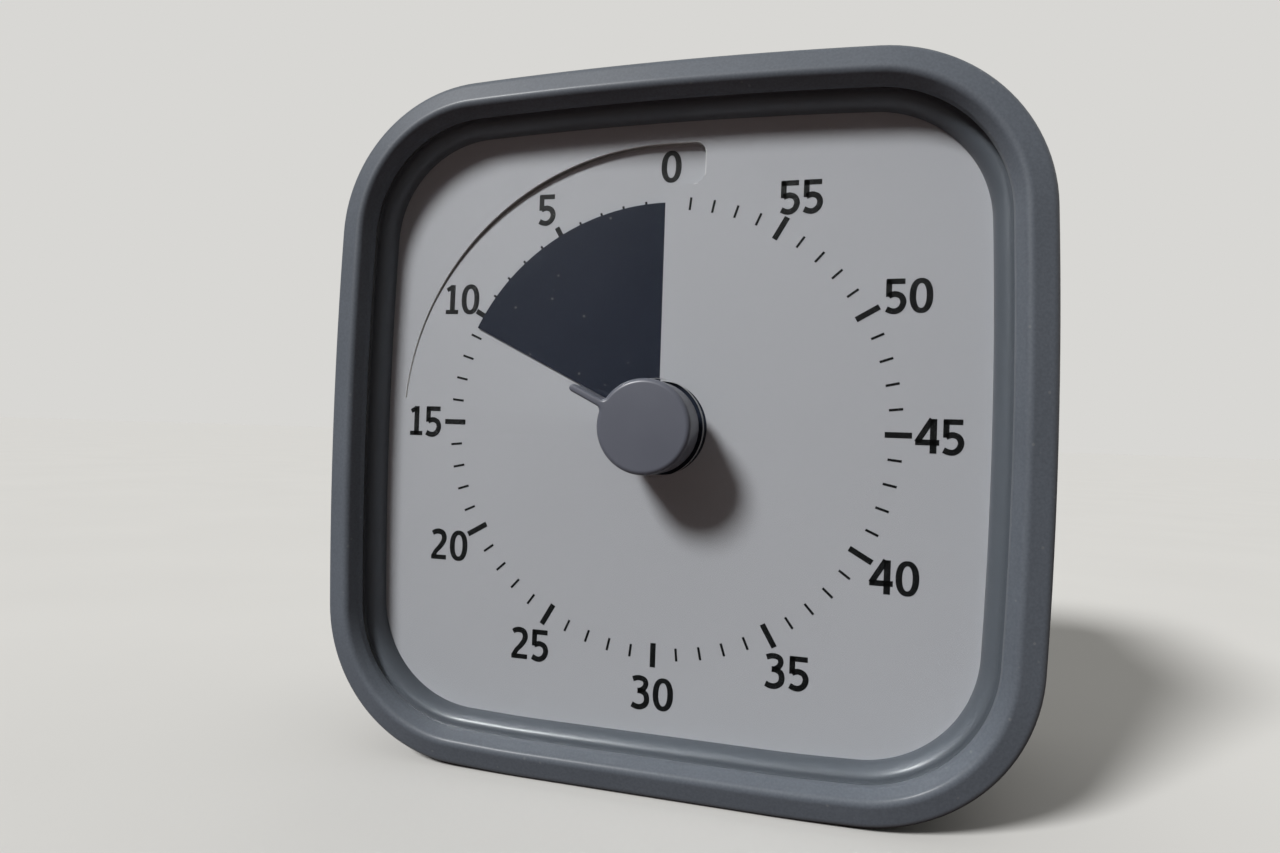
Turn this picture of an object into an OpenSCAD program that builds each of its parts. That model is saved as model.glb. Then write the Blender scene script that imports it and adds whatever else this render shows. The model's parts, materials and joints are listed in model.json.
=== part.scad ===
// A visual countdown timer: a soft-cornered square case in a silicone sleeve, with a clear
// window, a printed dial and a coloured film disk. The disk is threaded through a slit in the
// dial, so turning the knob brings out as much of it as there are minutes left.
//
// Every sub-part is drawn in the dial's own frame and then stood up by upright(). In that
// frame X is to the right, Y is up and Z comes out of the dial towards the person reading it.
// Z = 0 is the printed face. Angles run counter-clockwise from 12 o'clock, as the minutes do.

/* [Outline] */
// Width and height across the middle of the sides
body_w = 90.2; // [89:0.2:94]
// Depth from the front crest of the sleeve to its back
body_d = 44.3; // [43.8:0.5:50.3]
// Radius of the four corners
corner_r = 20; // [18:0.5:22]
// Radius of the long arc along each side
side_r = 600; // [450:50:1200]
// How much of the underside's arc is trimmed off to make a flat land to stand on
foot_trim = 0.25; // [0.15:0.05:0.35]

/* [Sleeve] */
// Wall of the silicone sleeve
sleeve_t = 2; // [1.6:0.1:2.2]
// Height of the sleeve's front crest above the dial
crest_z = 6.1; // [6:0.1:6.6]
// Tilt of the flat bevel round the front
bevel_angle = 18; // [14:1:22]
// Radius of the rounded outer edge of the bevel
shoulder_r = 1.2; // [0.8:0.1:1.4]
// Width of the lip that holds the sleeve on at the back
back_lip = 6.6; // [5.5:0.1:7]

/* [Dial] */
// Width of the dial that shows inside the surround
window_w = 78.2; // [76:0.1:79]
// Thickness of the printed dial sheet
dial_t = 0.3; // [0.25:0.05:0.35]
// Thickness of the coloured film
film_t = 0.2; // [0.15:0.05:0.25]
// Free gap on each side of the film where it passes the slit
film_gap = 0.08; // [0.06:0.01:0.1]
// Outer radius of the film
film_r = 29.1; // [27:0.1:29.3]
// Outer radius of the flap that is pressed down beside the slit
flap_r = 36.3; // [35.5:0.1:37]
// Depth to which the flap is pressed down at the slit
flap_drop = 1; // [0.8:0.05:1.1]
// Angle over which the flap rises back to the level of the dial
flap_angle = 90; // [84:1:96]
// Minutes shown
minutes_set = 10.6; // [1:0.1:59]

/* [Window] */
// Thickness of the clear window
lens_t = 1.2; // [1:0.1:1.3]
// Radius of the hole for the knob in the window
lens_hole_r = 6.1; // [6.05:0.05:6.6]

/* [Knob] */
// Radius of the knob
knob_r = 5.7; // [5.4:0.1:5.8]
// Height of the knob's face above the dial
knob_z = 9.5; // [8.6:0.1:10.2]
// Reach of the pointer from the knob's axis
pointer_reach = 10.4; // [9:0.1:12]
// Width of the pointer
pointer_w = 0.95; // [0.8:0.05:1.4]
// Depth of the pointer, front to back
pointer_depth = 3.7; // [2:0.1:4.4]

/* [Gear train] */
// Gear module
gear_module = 0.3; // [0.28:0.01:0.32]
// Teeth on the spindle's wheel
wheel_teeth = 60; // [56:4:60]
// Teeth on the idler's wheel
idler_teeth = 48; // [44:4:48]

/* [Battery] */
// Diameter of the cell
cell_d = 14.5; // [14:0.1:14.5]
// Length of the cell, with its button
cell_l = 50.5; // [49.5:0.1:50.5]

/* [Hidden] */
$fn = 48;
eps = 0.01;

// Outline
half_w = body_w / 2;
side_k = side_r - half_w;
corner_c = (-side_k + sqrt(2 * pow(side_r - corner_r, 2) - side_k * side_k)) / 2;
side_sweep = atan2(corner_c, corner_c + side_k);
side_steps = 6;
corner_steps = 12;
axis_h = half_w - foot_trim;
depth_shift = (body_d - crest_z - knob_z) / 2;

// Levels, front to back
lens_z = 2.45;
crest_round = 0.9;
crest_inset = 3;
inner_slope = 60;
back_round = 1.6;
lens_front = lens_z + lens_t;
back_z = crest_z - body_d;
panel_z = back_z + 0.2;
sleeve_back_t = 2;
parting_z = -16;
carrier_floor = -5.2;
shelf_t = 2;

// Insets from the outline
case_inset = sleeve_t + 0.1;
bore_inset = case_inset + 1.75;
lens_inset = bore_inset + 0.25;
foot_inset = lens_inset + 0.3;
shelf_inset = 12;
stack_inset = bore_inset + 0.15;
window_inset = half_w - window_w / 2;
panel_inset = back_lip + 0.1;

// The film and the slit. The film is a helical ribbon that climbs film_pitch in a turn. It comes
// out of the slit film_gap behind the dial sheet, and at the root of the flap it has climbed to
// film_gap ahead of the sheet. The flap starts lower and climbs faster, so it stays clear.
slit_offset = 0.27;
film_slit_z = -(dial_t + film_gap + film_t / 2);
film_pitch = (dial_t + film_t + 2 * film_gap) * 360 / flap_angle;
set_angle = minutes_set * 6;
film_sweep = 360;
film_step = 3;
collar_r = 4.5;
dial_hole_r = 6;
kerf = 0.18;
tab_w = 4.6;
tab_low = 31.3;
tab_round = 1.3;

// Spindle and collar
spindle_r = 2;
spindle_end_r = 1.5;
key_w = 0.8;
key_h = 0.6;
slide_gap = 0.08;
spin_gap = 0.05;
knob_skirt_z = 2.6;
pointer_drop = 0.2;
well_r = film_r + 0.9;
well_floor = -3.75;

// Movement
pinion_teeth = 10;
plate_z = carrier_floor;
plate_t = 1.6;
cover_z = -15.6;
cover_wall = 1.2;
movement_x = [-15, 21];
movement_y = [-12, 15];
movement_post = 2.4;
bush_r = 3.4;
bush_back = -7.6;
wheel_z = -9.4;
wheel_t = 1.1;
idler_z = -12;
clip_t = 0.3;
cam_z = -14.2;
cam_r = 3.4;
arbor_r = 0.5;
pressure_angle = 25;
backlash = 0.06;
wheel_r = gear_module * wheel_teeth / 2;
idler_r = gear_module * idler_teeth / 2;
pinion_r = gear_module * pinion_teeth / 2;
idler_at = [wheel_r + pinion_r, 0, 0];
motor_at = [idler_at.x, idler_r + pinion_r, 0];
motor_r = 5;
motor_l = 6.5;

// Battery bay and door
bay_floor = -21.6;
bay_half = [28, 7.8];
bay_wall = 1.2;
cell_y = -20;
cell_z = bay_floor - 0.15 - cell_d / 2;
cell_end = 27.3;
door_half = [29.5, 9.5];
door_t = 1.6;
door_gap = 0.35;
door_round = door_t / 2;
hinge_pin_r = 0.55;
hinge_pin_l = 1.2;
hinge_y = cell_y - door_half.y + door_round;
hinge_z = panel_z + door_round;

// Board, buzzer, switch and screws
board_z = -32;
board_t = 1.2;
board_x = [-2, 31];
board_y = [-4, 26];
board_post_at = [[1.5, -0.5], [27.5, 22.5]];
buzzer_at = [-19, 16];
buzzer_r = 11;
switch_at = [19, 10];
switch_travel = 3;
screw_r = 1.25;
post_at = 31.5;
post_r = 3.6;
screw_seat = -18.5;
carrier_screw_at = [24.2, 36];

// Leads and the pads that they are soldered to
battery_pads = [[29, -2.2], [0, 5]];
buzzer_pads = [[0, 12], [0, 14.5]];
motor_pads = [[9, 20], [12, 20]];
lead_r = 0.45;
pad_z = board_z + board_t + 0.9;

// ---------------------------------------------------------------- shared shapes

// Stands a shape drawn in the dial's frame on its base, centred front to back.
module upright() {
    translate([0, -depth_shift, axis_h]) rotate([90, 0, 0]) children();
}

function turned(p, a) = [p.x * cos(a) - p.y * sin(a), p.x * sin(a) + p.y * cos(a)];
function polar(r, a) = [-r * sin(a), r * cos(a)];

// The case outline, moved in by inset: four long side arcs and four corner arcs that meet as
// tangents. The underside's arc is trimmed flat.
function top_arc(inset) = [
    for (i = [0 : side_steps - 1])
        let (t = side_sweep * (2 * i / side_steps - 1), r = side_r - inset)
        [r * sin(t), r * cos(t) - side_k]
];
function corner_arc(inset) = [
    for (i = [0 : corner_steps - 1])
        let (t = side_sweep + (90 - 2 * side_sweep) * i / corner_steps, r = corner_r - inset)
        [corner_c + r * sin(t), corner_c + r * cos(t)]
];
function outline(inset) = [
    for (q = [0 : 3]) for (p = concat(top_arc(inset), corner_arc(inset)))
        let (w = turned(p, -90 * q))
        [w.x, max(w.y, inset - half_w + foot_trim)]
];

// A slab of the case outline between two levels.
module slab(inset, z0, z1) {
    translate([0, 0, z0]) linear_extrude(height = z1 - z0) polygon(outline(inset));
}

// Triangles between n closed loops of m points each. Joining the last loop to the first makes a
// ring; otherwise the two ends are closed with caps.
function loop_faces(n, m, ring) = [
    for (i = [0 : n - (ring ? 1 : 2)]) for (j = [0 : m - 1]) for (k = [0, 1])
        let (a = i * m, b = ((i + 1) % n) * m, c = (j + 1) % m)
        k == 0 ? [a + j, a + c, b + c] : [a + j, b + c, b + j]
];
function cap_faces(n, m) = [
    [for (j = [m - 1 : -1 : 0]) j],
    [for (j = [0 : m - 1]) (n - 1) * m + j],
];

// Carries a closed profile of [inset, z] points round the case outline.
module rim(profile) {
    m = len(outline(0));
    polyhedron(
        points = [for (p = profile) for (q = outline(p[0])) [q.x, q.y, p[1]]],
        faces = loop_faces(len(profile), m, true),
        convexity = 6
    );
}

// Points along an arc of a [inset, z] profile, with the angle measured from the front.
function profile_arc(centre, r, a0, a1, steps) = [
    for (i = [0 : steps])
        let (a = a0 + (a1 - a0) * i / steps)
        [centre[0] - r * sin(a), centre[1] + r * cos(a)]
];

// The point at radius r of a line that passes offset to the side of the axis and is turned by a.
function line_point(r, a, offset) = polar(r, a + asin(offset / r));

// A helical ribbon from angle a0 to a1, whose top climbs from z0 to z1. It is swept by a line
// that passes offset to the side of the axis.
module ribbon(a0, a1, r0, r1, z0, z1, t, offset) {
    n = ceil((a1 - a0) / film_step) + 1;
    polyhedron(
        points = [
            for (i = [0 : n - 1])
                let (
                    a = a0 + (a1 - a0) * i / (n - 1),
                    z = z0 + (z1 - z0) * i / (n - 1),
                    p = line_point(r0, a, offset),
                    q = line_point(r1, a, offset)
                )
                each [[p.x, p.y, z], [p.x, p.y, z - t], [q.x, q.y, z - t], [q.x, q.y, z]]
        ],
        faces = concat(loop_faces(n, 4, false), cap_faces(n, 4)),
        convexity = 6
    );
}

// A round wire along a list of points, none of whose stretches runs along the reference.
module wire(path, r, reference = [0.31, 0.17, 0.94], sides = 6) {
    n = len(path);
    polyhedron(
        points = [
            for (i = [0 : n - 1])
                let (
                    along = path[min(i + 1, n - 1)] - path[max(i - 1, 0)],
                    t = along / norm(along),
                    u = cross(t, reference) / norm(cross(t, reference)),
                    v = cross(u, t)
                )
                for (j = [0 : sides - 1])
                    path[i] + r * (cos(360 * j / sides) * u + sin(360 * j / sides) * v)
        ],
        faces = concat(loop_faces(n, sides, false), cap_faces(n, sides)),
        convexity = 4
    );
}

module tube(r_out, r_in, z0, z1) {
    difference() {
        translate([0, 0, z0]) cylinder(r = r_out, h = z1 - z0);
        translate([0, 0, z0 - 1]) cylinder(r = r_in, h = z1 - z0 + 2);
    }
}

module rod(r, z0, z1) {
    translate([0, 0, z0]) cylinder(r = r, h = z1 - z0);
}

// A box between two corners.
module block(low, high) {
    translate(low) cube(high - low);
}

module at_corners(x, y) {
    for (sx = [-1, 1]) for (sy = [-1, 1]) translate([sx * x, sy * y, 0]) children();
}

// Involute gear outline with a tooth centred on +X.
function involute(a) = tan(a) * 180 / PI - a;
function half_tooth(r, rp) =
    90 * 2 * gear_module / (4 * rp) - backlash / (2 * rp) * 180 / PI
    + involute(pressure_angle) - involute(acos(min(1, rp * cos(pressure_angle) / r)));
function gear_points(teeth, addendum, dedendum, flank_steps) =
    let (
        rp = gear_module * teeth / 2,
        rb = rp * cos(pressure_angle),
        tip = rp + addendum,
        root = rp - dedendum,
        foot = max(rb, root),
        flank = [for (i = [0 : flank_steps]) foot + (tip - foot) * i / flank_steps]
    )
    [
        for (k = [0 : teeth - 1]) let (mid = 360 * k / teeth) each concat(
            [root * [cos(mid - half_tooth(foot, rp)), sin(mid - half_tooth(foot, rp))]],
            [for (r = flank) r * [cos(mid - half_tooth(r, rp)), sin(mid - half_tooth(r, rp))]],
            [for (i = [flank_steps : -1 : 0]) let (r = flank[i])
                r * [cos(mid + half_tooth(r, rp)), sin(mid + half_tooth(r, rp))]],
            [root * [cos(mid + half_tooth(foot, rp)), sin(mid + half_tooth(foot, rp))]]
        )
    ];
module wheel_shape(teeth) {
    polygon(gear_points(teeth, 0.8 * gear_module, 1.25 * gear_module, 2));
}
module pinion_shape() {
    polygon(gear_points(pinion_teeth, 1.0 * gear_module, 1.1 * gear_module, 3));
}

// A self-tapping screw whose head rests on z and whose shank runs towards +Z.
module screw(z, head_r, head_h, shank_r, length) {
    difference() {
        union() {
            rod(head_r, z - head_h, z);
            rod(shank_r, z - eps, z + length);
        }
        for (a = [0, 90]) rotate([0, 0, a])
            block([-head_r * 0.6, -0.22, z - head_h - 1], [head_r * 0.6, 0.22, z - head_h * 0.4]);
    }
}

// ---------------------------------------------------------------- case and sleeve

// The silicone sleeve: a plain band with a flat bevel at the front, which rises to a rounded
// crest and falls steeply to the rim of the window, and a flat lip that hooks over the edge of
// the back. The height of the shoulder makes the bevel touch both of its roundings.
module sleeve() color("slategray") upright() {
    band_z0 = back_z + back_round;
    band_z1 = lens_front;
    crest = [crest_inset, crest_z - crest_round];
    shoulder = [
        shoulder_r,
        crest.y - (crest_inset - shoulder_r) * tan(bevel_angle)
            - (shoulder_r - crest_round) / cos(bevel_angle)
    ];
    rest_z = lens_front + 0.03;
    slope_run = foot_inset - crest_inset - crest_round * sin(inner_slope);
    foot_top = max(
        rest_z + 0.2,
        crest.y + crest_round * cos(inner_slope) - slope_run * tan(inner_slope)
    );
    rim(concat(
        [[sleeve_t, band_z1], [0, band_z1]],
        profile_arc(shoulder, shoulder_r, 90, bevel_angle, 5),
        profile_arc(crest, crest_round, bevel_angle, -inner_slope, 6),
        [[foot_inset, foot_top], [foot_inset, rest_z], [sleeve_t, rest_z]]
    ));
    difference() {
        slab(0, band_z0, band_z1);
        slab(sleeve_t, band_z0 - 1, band_z1 + 1);
    }
    rim(concat(
        [[sleeve_t, band_z0]],
        [[sleeve_t, back_z + sleeve_back_t]],
        [[back_lip, back_z + sleeve_back_t]],
        [[back_lip, back_z]],
        profile_arc([back_round, band_z0], back_round, 180, 90, 5)
    ));
}

// The front half of the case: a square tube with a shelf that the dial stack stands on.
module front_case() color("darkslategray") upright() {
    difference() {
        union() {
            difference() {
                slab(case_inset, parting_z, lens_front);
                slab(bore_inset, parting_z - 1, lens_front + 1);
            }
            difference() {
                slab(bore_inset - 0.5, carrier_floor - shelf_t, carrier_floor);
                slab(shelf_inset, carrier_floor - shelf_t - 1, carrier_floor + 1);
            }
            at_corners(post_at, post_at) rod(post_r - 0.3, parting_z, carrier_floor);
        }
        at_corners(post_at, post_at) rod(screw_r + 0.02, parting_z - 1, carrier_floor - 1.5);
        at_corners(carrier_screw_at.x, carrier_screw_at.y) rod(1.35, -10, 0);
    }
}

// The rear half of the case, with the battery bay, the posts and the openings of the back.
module rear_case() color("darkslategray") upright() {
    inner_z = back_z + sleeve_back_t + 2.1;
    difference() {
        union() {
            difference() {
                union() {
                    slab(case_inset, back_z + sleeve_back_t + 0.1, parting_z);
                    slab(panel_inset, panel_z, back_z + sleeve_back_t + 0.2);
                }
                slab(bore_inset, inner_z, parting_z + 1);
                slab(panel_inset + 2, panel_z + 2, parting_z + 1);
            }
            translate([0, cell_y, 0]) block(
                [-bay_half.x - bay_wall, -bay_half.y - bay_wall, panel_z + 1.5],
                [bay_half.x + bay_wall, bay_half.y + bay_wall, bay_floor + bay_wall]
            );
            at_corners(post_at, post_at) rod(post_r, panel_z + 1.5, parting_z);
            for (p = board_post_at) translate([p.x, p.y, 0]) rod(2.4, panel_z + 1.5, board_z);
            translate([buzzer_at.x, buzzer_at.y, 0]) tube(buzzer_r + 1.3, buzzer_r + 0.1, panel_z + 1.5, -34);
        }
        translate([0, cell_y, 0]) {
            block([-bay_half.x, -bay_half.y, panel_z - 1], [bay_half.x, bay_half.y, bay_floor]);
            block(
                [-door_half.x - door_gap, -door_half.y - door_gap, panel_z - 1],
                [door_half.x + door_gap, door_half.y + door_gap, panel_z + door_t + 0.1]
            );
            translate([0, door_half.y + 2.4, 0]) rod(5, panel_z - 1, panel_z + 0.9);
        }
        translate([-door_half.x - door_gap - hinge_pin_l, hinge_y, hinge_z]) rotate([0, 90, 0])
            cylinder(r = hinge_pin_r + 0.06, h = 2 * (door_half.x + door_gap + hinge_pin_l));
        at_corners(post_at, post_at) {
            rod(2.5, panel_z - 1, screw_seat);
            rod(screw_r + 0.15, screw_seat - 1, parting_z + 1);
        }
        for (p = board_post_at) translate([p.x, p.y, 0]) rod(0.92, panel_z + 2.5, board_z + 1);
        for (p = sound_holes()) translate([buzzer_at.x + p.x, buzzer_at.y + p.y, 0])
            rod(0.8, panel_z - 1, panel_z + 3);
        translate([switch_at.x, switch_at.y, 0]) {
            block([-5.2, -2.8, panel_z - 1], [5.2, 2.8, panel_z + 0.8]);
            block([-2.9, -1.4, panel_z - 1], [2.9, 1.4, panel_z + 3]);
        }
        for (x = [-1, 1]) translate([x * (bay_half.x + bay_wall / 2), cell_y, 0])
            block([-2, 2.9, -25], [2, 5.1, -23.2]);
    }
}

// A hexagonal patch of holes: one in the middle with two rings round it.
function sound_holes() = concat([[0, 0]],
    [for (i = [0 : 5]) polar(2.8, 60 * i)],
    [for (i = [0 : 11]) polar(5.4, 30 * i)]
);

module lens() color([0.85, 0.9, 0.95, 0.3]) upright() {
    difference() {
        slab(lens_inset, lens_z, lens_front);
        rod(lens_hole_r, lens_z - 1, lens_front + 1);
    }
}

// The frame between the dial sheet and the window. Its inner face is a quarter of an ellipse,
// flat where the window rests on it and upright at the dial.
module dial_surround() color("slategray") upright() {
    start = foot_inset + 0.1;
    land = 0.25;
    rim(concat(
        [[stack_inset, 0], [stack_inset, lens_z]],
        [
            for (i = [0 : 6])
                [start + (window_inset - start) * sin(15 * i), land + (lens_z - land) * cos(15 * i)]
        ],
        [[window_inset, 0]]
    ));
}

// ---------------------------------------------------------------- dial and film

// The outline that frees the flap from the dial sheet: up the slit, round the tab that carries
// the 0, and back along an arc. gap widens it on the outer sides only.
function flap_outline(a_end, gap, side) =
    let (
        right = tab_w + gap,
        top = flap_r + gap,
        low = tab_low - gap,
        r = tab_round + gap
    )
    concat(
        [line_point(dial_hole_r - 1, 0, slit_offset), [-slit_offset + side, low]],
        [for (i = [0 : 4]) [right - r + r * sin(22.5 * i), low + r - r * cos(22.5 * i)]],
        [for (i = [0 : 4]) [right - r + r * cos(22.5 * i), top - r + r * sin(22.5 * i)]],
        [for (a = [0 : 3 : a_end - 1]) polar(top, a)],
        [polar(top, a_end), line_point(dial_hole_r - 1, a_end, slit_offset)]
    );

// The printed dial, with the flap that is pressed down beside the slit to let the film through.
module dial_face() color("whitesmoke") upright() {
    root_angle = flap_angle - 3;
    difference() {
        slab(stack_inset, -dial_t, 0);
        rod(dial_hole_r, -1, 1);
        translate([0, 0, -1]) linear_extrude(height = 2) polygon(flap_outline(root_angle - 1, kerf, 0));
    }
    root_z = -flap_drop * (1 - root_angle / flap_angle);
    ribbon(0, root_angle, dial_hole_r + 0.1, flap_r, -flap_drop, root_z, dial_t, slit_offset);
    translate([0, 0, -flap_drop - dial_t - 0.02]) linear_extrude(height = dial_t) intersection() {
        polygon(flap_outline(2, 0, -0.6));
        translate([-slit_offset - 0.6, tab_low]) square([tab_w + 2, 6]);
    }
}

// The tray behind the dial, with the round well in which the rest of the film turns.
module dial_carrier() color("silver") upright() {
    difference() {
        slab(stack_inset, carrier_floor, -dial_t);
        rod(well_r, well_floor, 1);
        rod(bush_r + 0.1, carrier_floor - 1, 1);
        translate([0, 0, -flap_drop - dial_t - 0.2]) linear_extrude(height = 3)
            polygon(flap_outline(flap_angle, 0.6, 0.4));
        at_corners(carrier_screw_at.x, carrier_screw_at.y) rod(1.02, carrier_floor - 1, -1.4);
        movement_posts() rod(0.82, carrier_floor - 1, -3.9);
    }
}

// The film disk as one turn of a screw: the part ahead of the slit lies on the dial and the
// rest lies behind it.
module timer_disk() color("midnightblue") upright() {
    ribbon(
        set_angle - film_sweep, set_angle, collar_r - 0.3, film_r,
        film_slit_z + film_t / 2 + film_pitch * (set_angle - film_sweep) / 360,
        film_slit_z + film_t / 2 + film_pitch * set_angle / 360,
        film_t, 0
    );
}

// The collar that carries the film. It is keyed to the spindle and free to slide along it.
module disk_collar() color("gray") upright() rotate([0, 0, set_angle]) {
    top = film_slit_z + film_t + film_pitch * set_angle / 360;
    difference() {
        rod(collar_r, top - film_pitch - 2 * film_t, top + 0.1);
        rod(spindle_r + slide_gap, top - film_pitch - 2, top + 1);
        block(
            [-key_w / 2 - slide_gap, 0, top - film_pitch - 2],
            [key_w / 2 + slide_gap, spindle_r + key_h + slide_gap, top + 1]
        );
    }
}

// ---------------------------------------------------------------- knob and spindle

// The pointer's outline along +Y: a thin blade with a round tip and a filleted root.
function pointer_outline() =
    let (
        w = pointer_w / 2,
        root = knob_r - 0.6,
        fillet = 0.8,
        side = [
            for (i = [0 : 4])
                [w + 0.15 + fillet * (1 - cos(22.5 * i)), knob_r + fillet - fillet * sin(22.5 * i)]
        ]
    )
    concat(
        [for (i = [0 : 6]) [w * cos(30 * i), pointer_reach - w + w * sin(30 * i)]],
        [for (p = side) [-p.x, p.y]],
        [[-w - fillet, root], [w + fillet, root]],
        [for (i = [4 : -1 : 0]) side[i]]
    );

module knob() color("slategray") upright() rotate([0, 0, set_angle]) {
    edge = 0.8;
    difference() {
        union() {
            rotate_extrude() polygon(concat(
                [[0, knob_skirt_z], [knob_r - 0.15, knob_skirt_z], [knob_r, knob_skirt_z + 1]],
                [for (i = [0 : 6]) [knob_r - edge + edge * cos(15 * i), knob_z - edge + edge * sin(15 * i)]],
                [[0, knob_z]]
            ));
            translate([0, 0, knob_z - pointer_drop - pointer_depth])
                linear_extrude(height = pointer_depth) polygon(pointer_outline());
        }
        difference() {
            rod(knob_r - 1.2, knob_skirt_z - 1, knob_z - 1.4);
            rod(3, knob_skirt_z - 2, knob_z);
        }
        rod(spindle_end_r + 0.02, knob_skirt_z - 1, knob_z - 1.6);
    }
}

module spindle() color("silver") upright() rotate([0, 0, set_angle]) {
    rod(spindle_end_r, knob_skirt_z - 1, knob_z - 1.7);
    difference() {
        rod(spindle_r, -10.9, knob_skirt_z - 0.1);
        for (z = clip_levels()) tube(spindle_r + 1, spindle_r - 0.3, z, z + clip_t);
    }
    block([-key_w / 2, 1, well_floor + 0.15], [key_w / 2, spindle_r + key_h, knob_skirt_z - 0.1]);
    rod(spindle_end_r, cam_z, -10.8);
    rod(1, cover_z + 0.3, cam_z + 1);
}

// The two clips on the spindle: one ahead of its wheel and one behind the clutch spring.
function clip_levels() = [wheel_z + wheel_t + 0.05, wheel_z - 1.3];

module retaining_clip() color("dimgray") upright() for (z = clip_levels()) difference() {
    tube(2.8, spindle_r - 0.28, z, z + clip_t);
    block([-0.9, 0, z - 1], [0.9, 4, z + 1]);
}

module spindle_wheel() color("wheat") upright() {
    difference() {
        translate([0, 0, wheel_z]) linear_extrude(height = wheel_t) wheel_shape(wheel_teeth);
        rod(spindle_r + spin_gap, wheel_z - 1, wheel_z + 2);
        for (i = [0 : 4]) rotate([0, 0, 72 * i]) translate([0, 5.4, 0]) rod(1.7, wheel_z - 1, wheel_z + 2);
    }
}

// The dished washer that presses the wheel against its clip and lets the spindle slip in it.
module clutch_spring() color("gold") upright() {
    high = wheel_z - 0.03;
    low = wheel_z - 1.3 + clip_t + 0.03;
    rotate_extrude() polygon([
        [2.1, low], [2.5, low], [4.1, high - 0.25], [4.1, high], [3.6, high], [2.1, low + 0.3],
    ]);
}

// The cam that lets the alarm contacts close at zero.
module zero_cam() color("ivory") upright() rotate([0, 0, set_angle]) difference() {
    rod(cam_r, cam_z, cam_z + 1);
    rod(spindle_end_r + 0.02, cam_z - 1, cam_z + 2);
    translate([0, cam_r + 0.5, 0]) rod(1.2, cam_z - 1, cam_z + 2);
}

// ---------------------------------------------------------------- gear train

module idler_wheel() color("wheat") upright() translate(idler_at) difference() {
    union() {
        translate([0, 0, idler_z]) linear_extrude(height = wheel_t) wheel_shape(idler_teeth);
        translate([0, 0, wheel_z - 0.3]) linear_extrude(height = wheel_t + 0.5) rotate([0, 0, 18])
            pinion_shape();
        rod(1.15, idler_z - 0.4, wheel_z + wheel_t + 0.4);
    }
    rod(arbor_r + spin_gap, -20, 0);
    for (i = [0 : 3]) rotate([0, 0, 90 * i + 45]) translate([4.1, 0, 0]) rod(1.3, idler_z - 1, idler_z + 2);
}

module idler_pin() color("silver") upright() translate(idler_at)
    rod(arbor_r, cover_z + 0.6, plate_z - 0.4);

module motor() color("darkgray") upright() translate(motor_at) difference() {
    union() {
        rod(motor_r, cover_z - motor_l, cover_z - 0.6);
        translate([0, 0, cover_z - 0.6]) linear_extrude(height = 0.6) {
            circle(r = motor_r);
            square([15, 4], center = true);
        }
        translate([0, 0, cover_z - motor_l]) block([-3, motor_r - 1, 0.4], [3, motor_r + 1.6, 3]);
    }
    rod(arbor_r + spin_gap, cover_z - 3, cover_z + 1);
}

module motor_pinion() color("gold") upright() translate(motor_at) {
    translate([0, 0, idler_z - 0.4]) linear_extrude(height = wheel_t + 0.8) pinion_shape();
    rod(arbor_r, cover_z - 2.8, idler_z + 1.2);
}

// Places children at the four posts in the corners of the movement.
module movement_posts() {
    for (x = [movement_x[0] + movement_post, movement_x[1] - movement_post])
        for (y = [movement_y[0] + movement_post, movement_y[1] - movement_post])
            translate([x, y, 0]) children();
}

module movement_plate() color("burlywood") upright() difference() {
    block([movement_x[0], movement_y[0], plate_z - plate_t], [movement_x[1], movement_y[1], plate_z]);
    rod(bush_r + 0.02, -10, 0);
    translate(idler_at) rod(arbor_r, -10, plate_z - 0.4);
    movement_posts() rod(1, -10, 0);
}

module movement_cover() color("ivory") upright() {
    low = [movement_x[0], movement_y[0], cover_z];
    high = [movement_x[1], movement_y[1], plate_z - plate_t];
    thick = [cover_wall, cover_wall, cover_wall];
    difference() {
        union() {
            difference() {
                block(low, high);
                block(low + thick, [high.x - cover_wall, high.y - cover_wall, high.z + 1]);
            }
            movement_posts() rod(2, cover_z, high.z);
        }
        movement_posts() rod(1, cover_z - 1, 0);
        rod(1 + spin_gap, cover_z - 1, cover_z + 3);
        translate(idler_at) rod(arbor_r, cover_z + 0.6, cover_z + 3);
        translate(motor_at) rod(arbor_r + 0.4, cover_z - 1, cover_z + 3);
    }
}

module spindle_bush() color("goldenrod") upright() difference() {
    union() {
        rod(bush_r, bush_back, well_floor);
        rod(bush_r + 1, bush_back, plate_z - plate_t);
    }
    rod(spindle_r + spin_gap, -10, 0);
}

// Two leaf springs on a block. Their tips stand beside the zero cam.
module alarm_contacts() color("goldenrod") upright() {
    floor_z = cover_z + cover_wall;
    block([-13.5, -2.5, floor_z], [-10, 2.5, -11.8]);
    for (y = [-1.3, 1.1]) block([-10.2, y, floor_z + 0.3], [-3.9, y + 0.2, floor_z + 1.4]);
    translate([-4, 1.2, 0]) rod(0.4, floor_z + 0.4, floor_z + 1.3);
}

// ---------------------------------------------------------------- electrical parts

module circuit_board() color("seagreen") upright() difference() {
    block([board_x[0], board_y[0], board_z], [board_x[1], board_y[1], board_z + board_t]);
    for (p = board_post_at) translate([p.x, p.y, 0]) rod(1.15, board_z - 1, 0);
}

// The chip, crystal, capacitor and solder pads on the front of the board.
module board_parts() color("black") upright() {
    top = board_z + board_t;
    block([8, 2, top], [14, 8, top + 1.4]);
    for (i = [0 : 3]) for (x = [7.2, 14]) block([x, 2.6 + 1.4 * i, top], [x + 0.8, 3.1 + 1.4 * i, top + 0.6]);
    translate([19.5, 2.5, top + 1.05]) rotate([0, 90, 0]) cylinder(r = 1, h = 6);
    translate([24, 13, 0]) rod(2.5, top, top + 5.4);
    for (p = concat(battery_pads, buzzer_pads, motor_pads)) translate([p.x, p.y, 0]) rod(0.8, top, top + 0.5);
}

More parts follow.
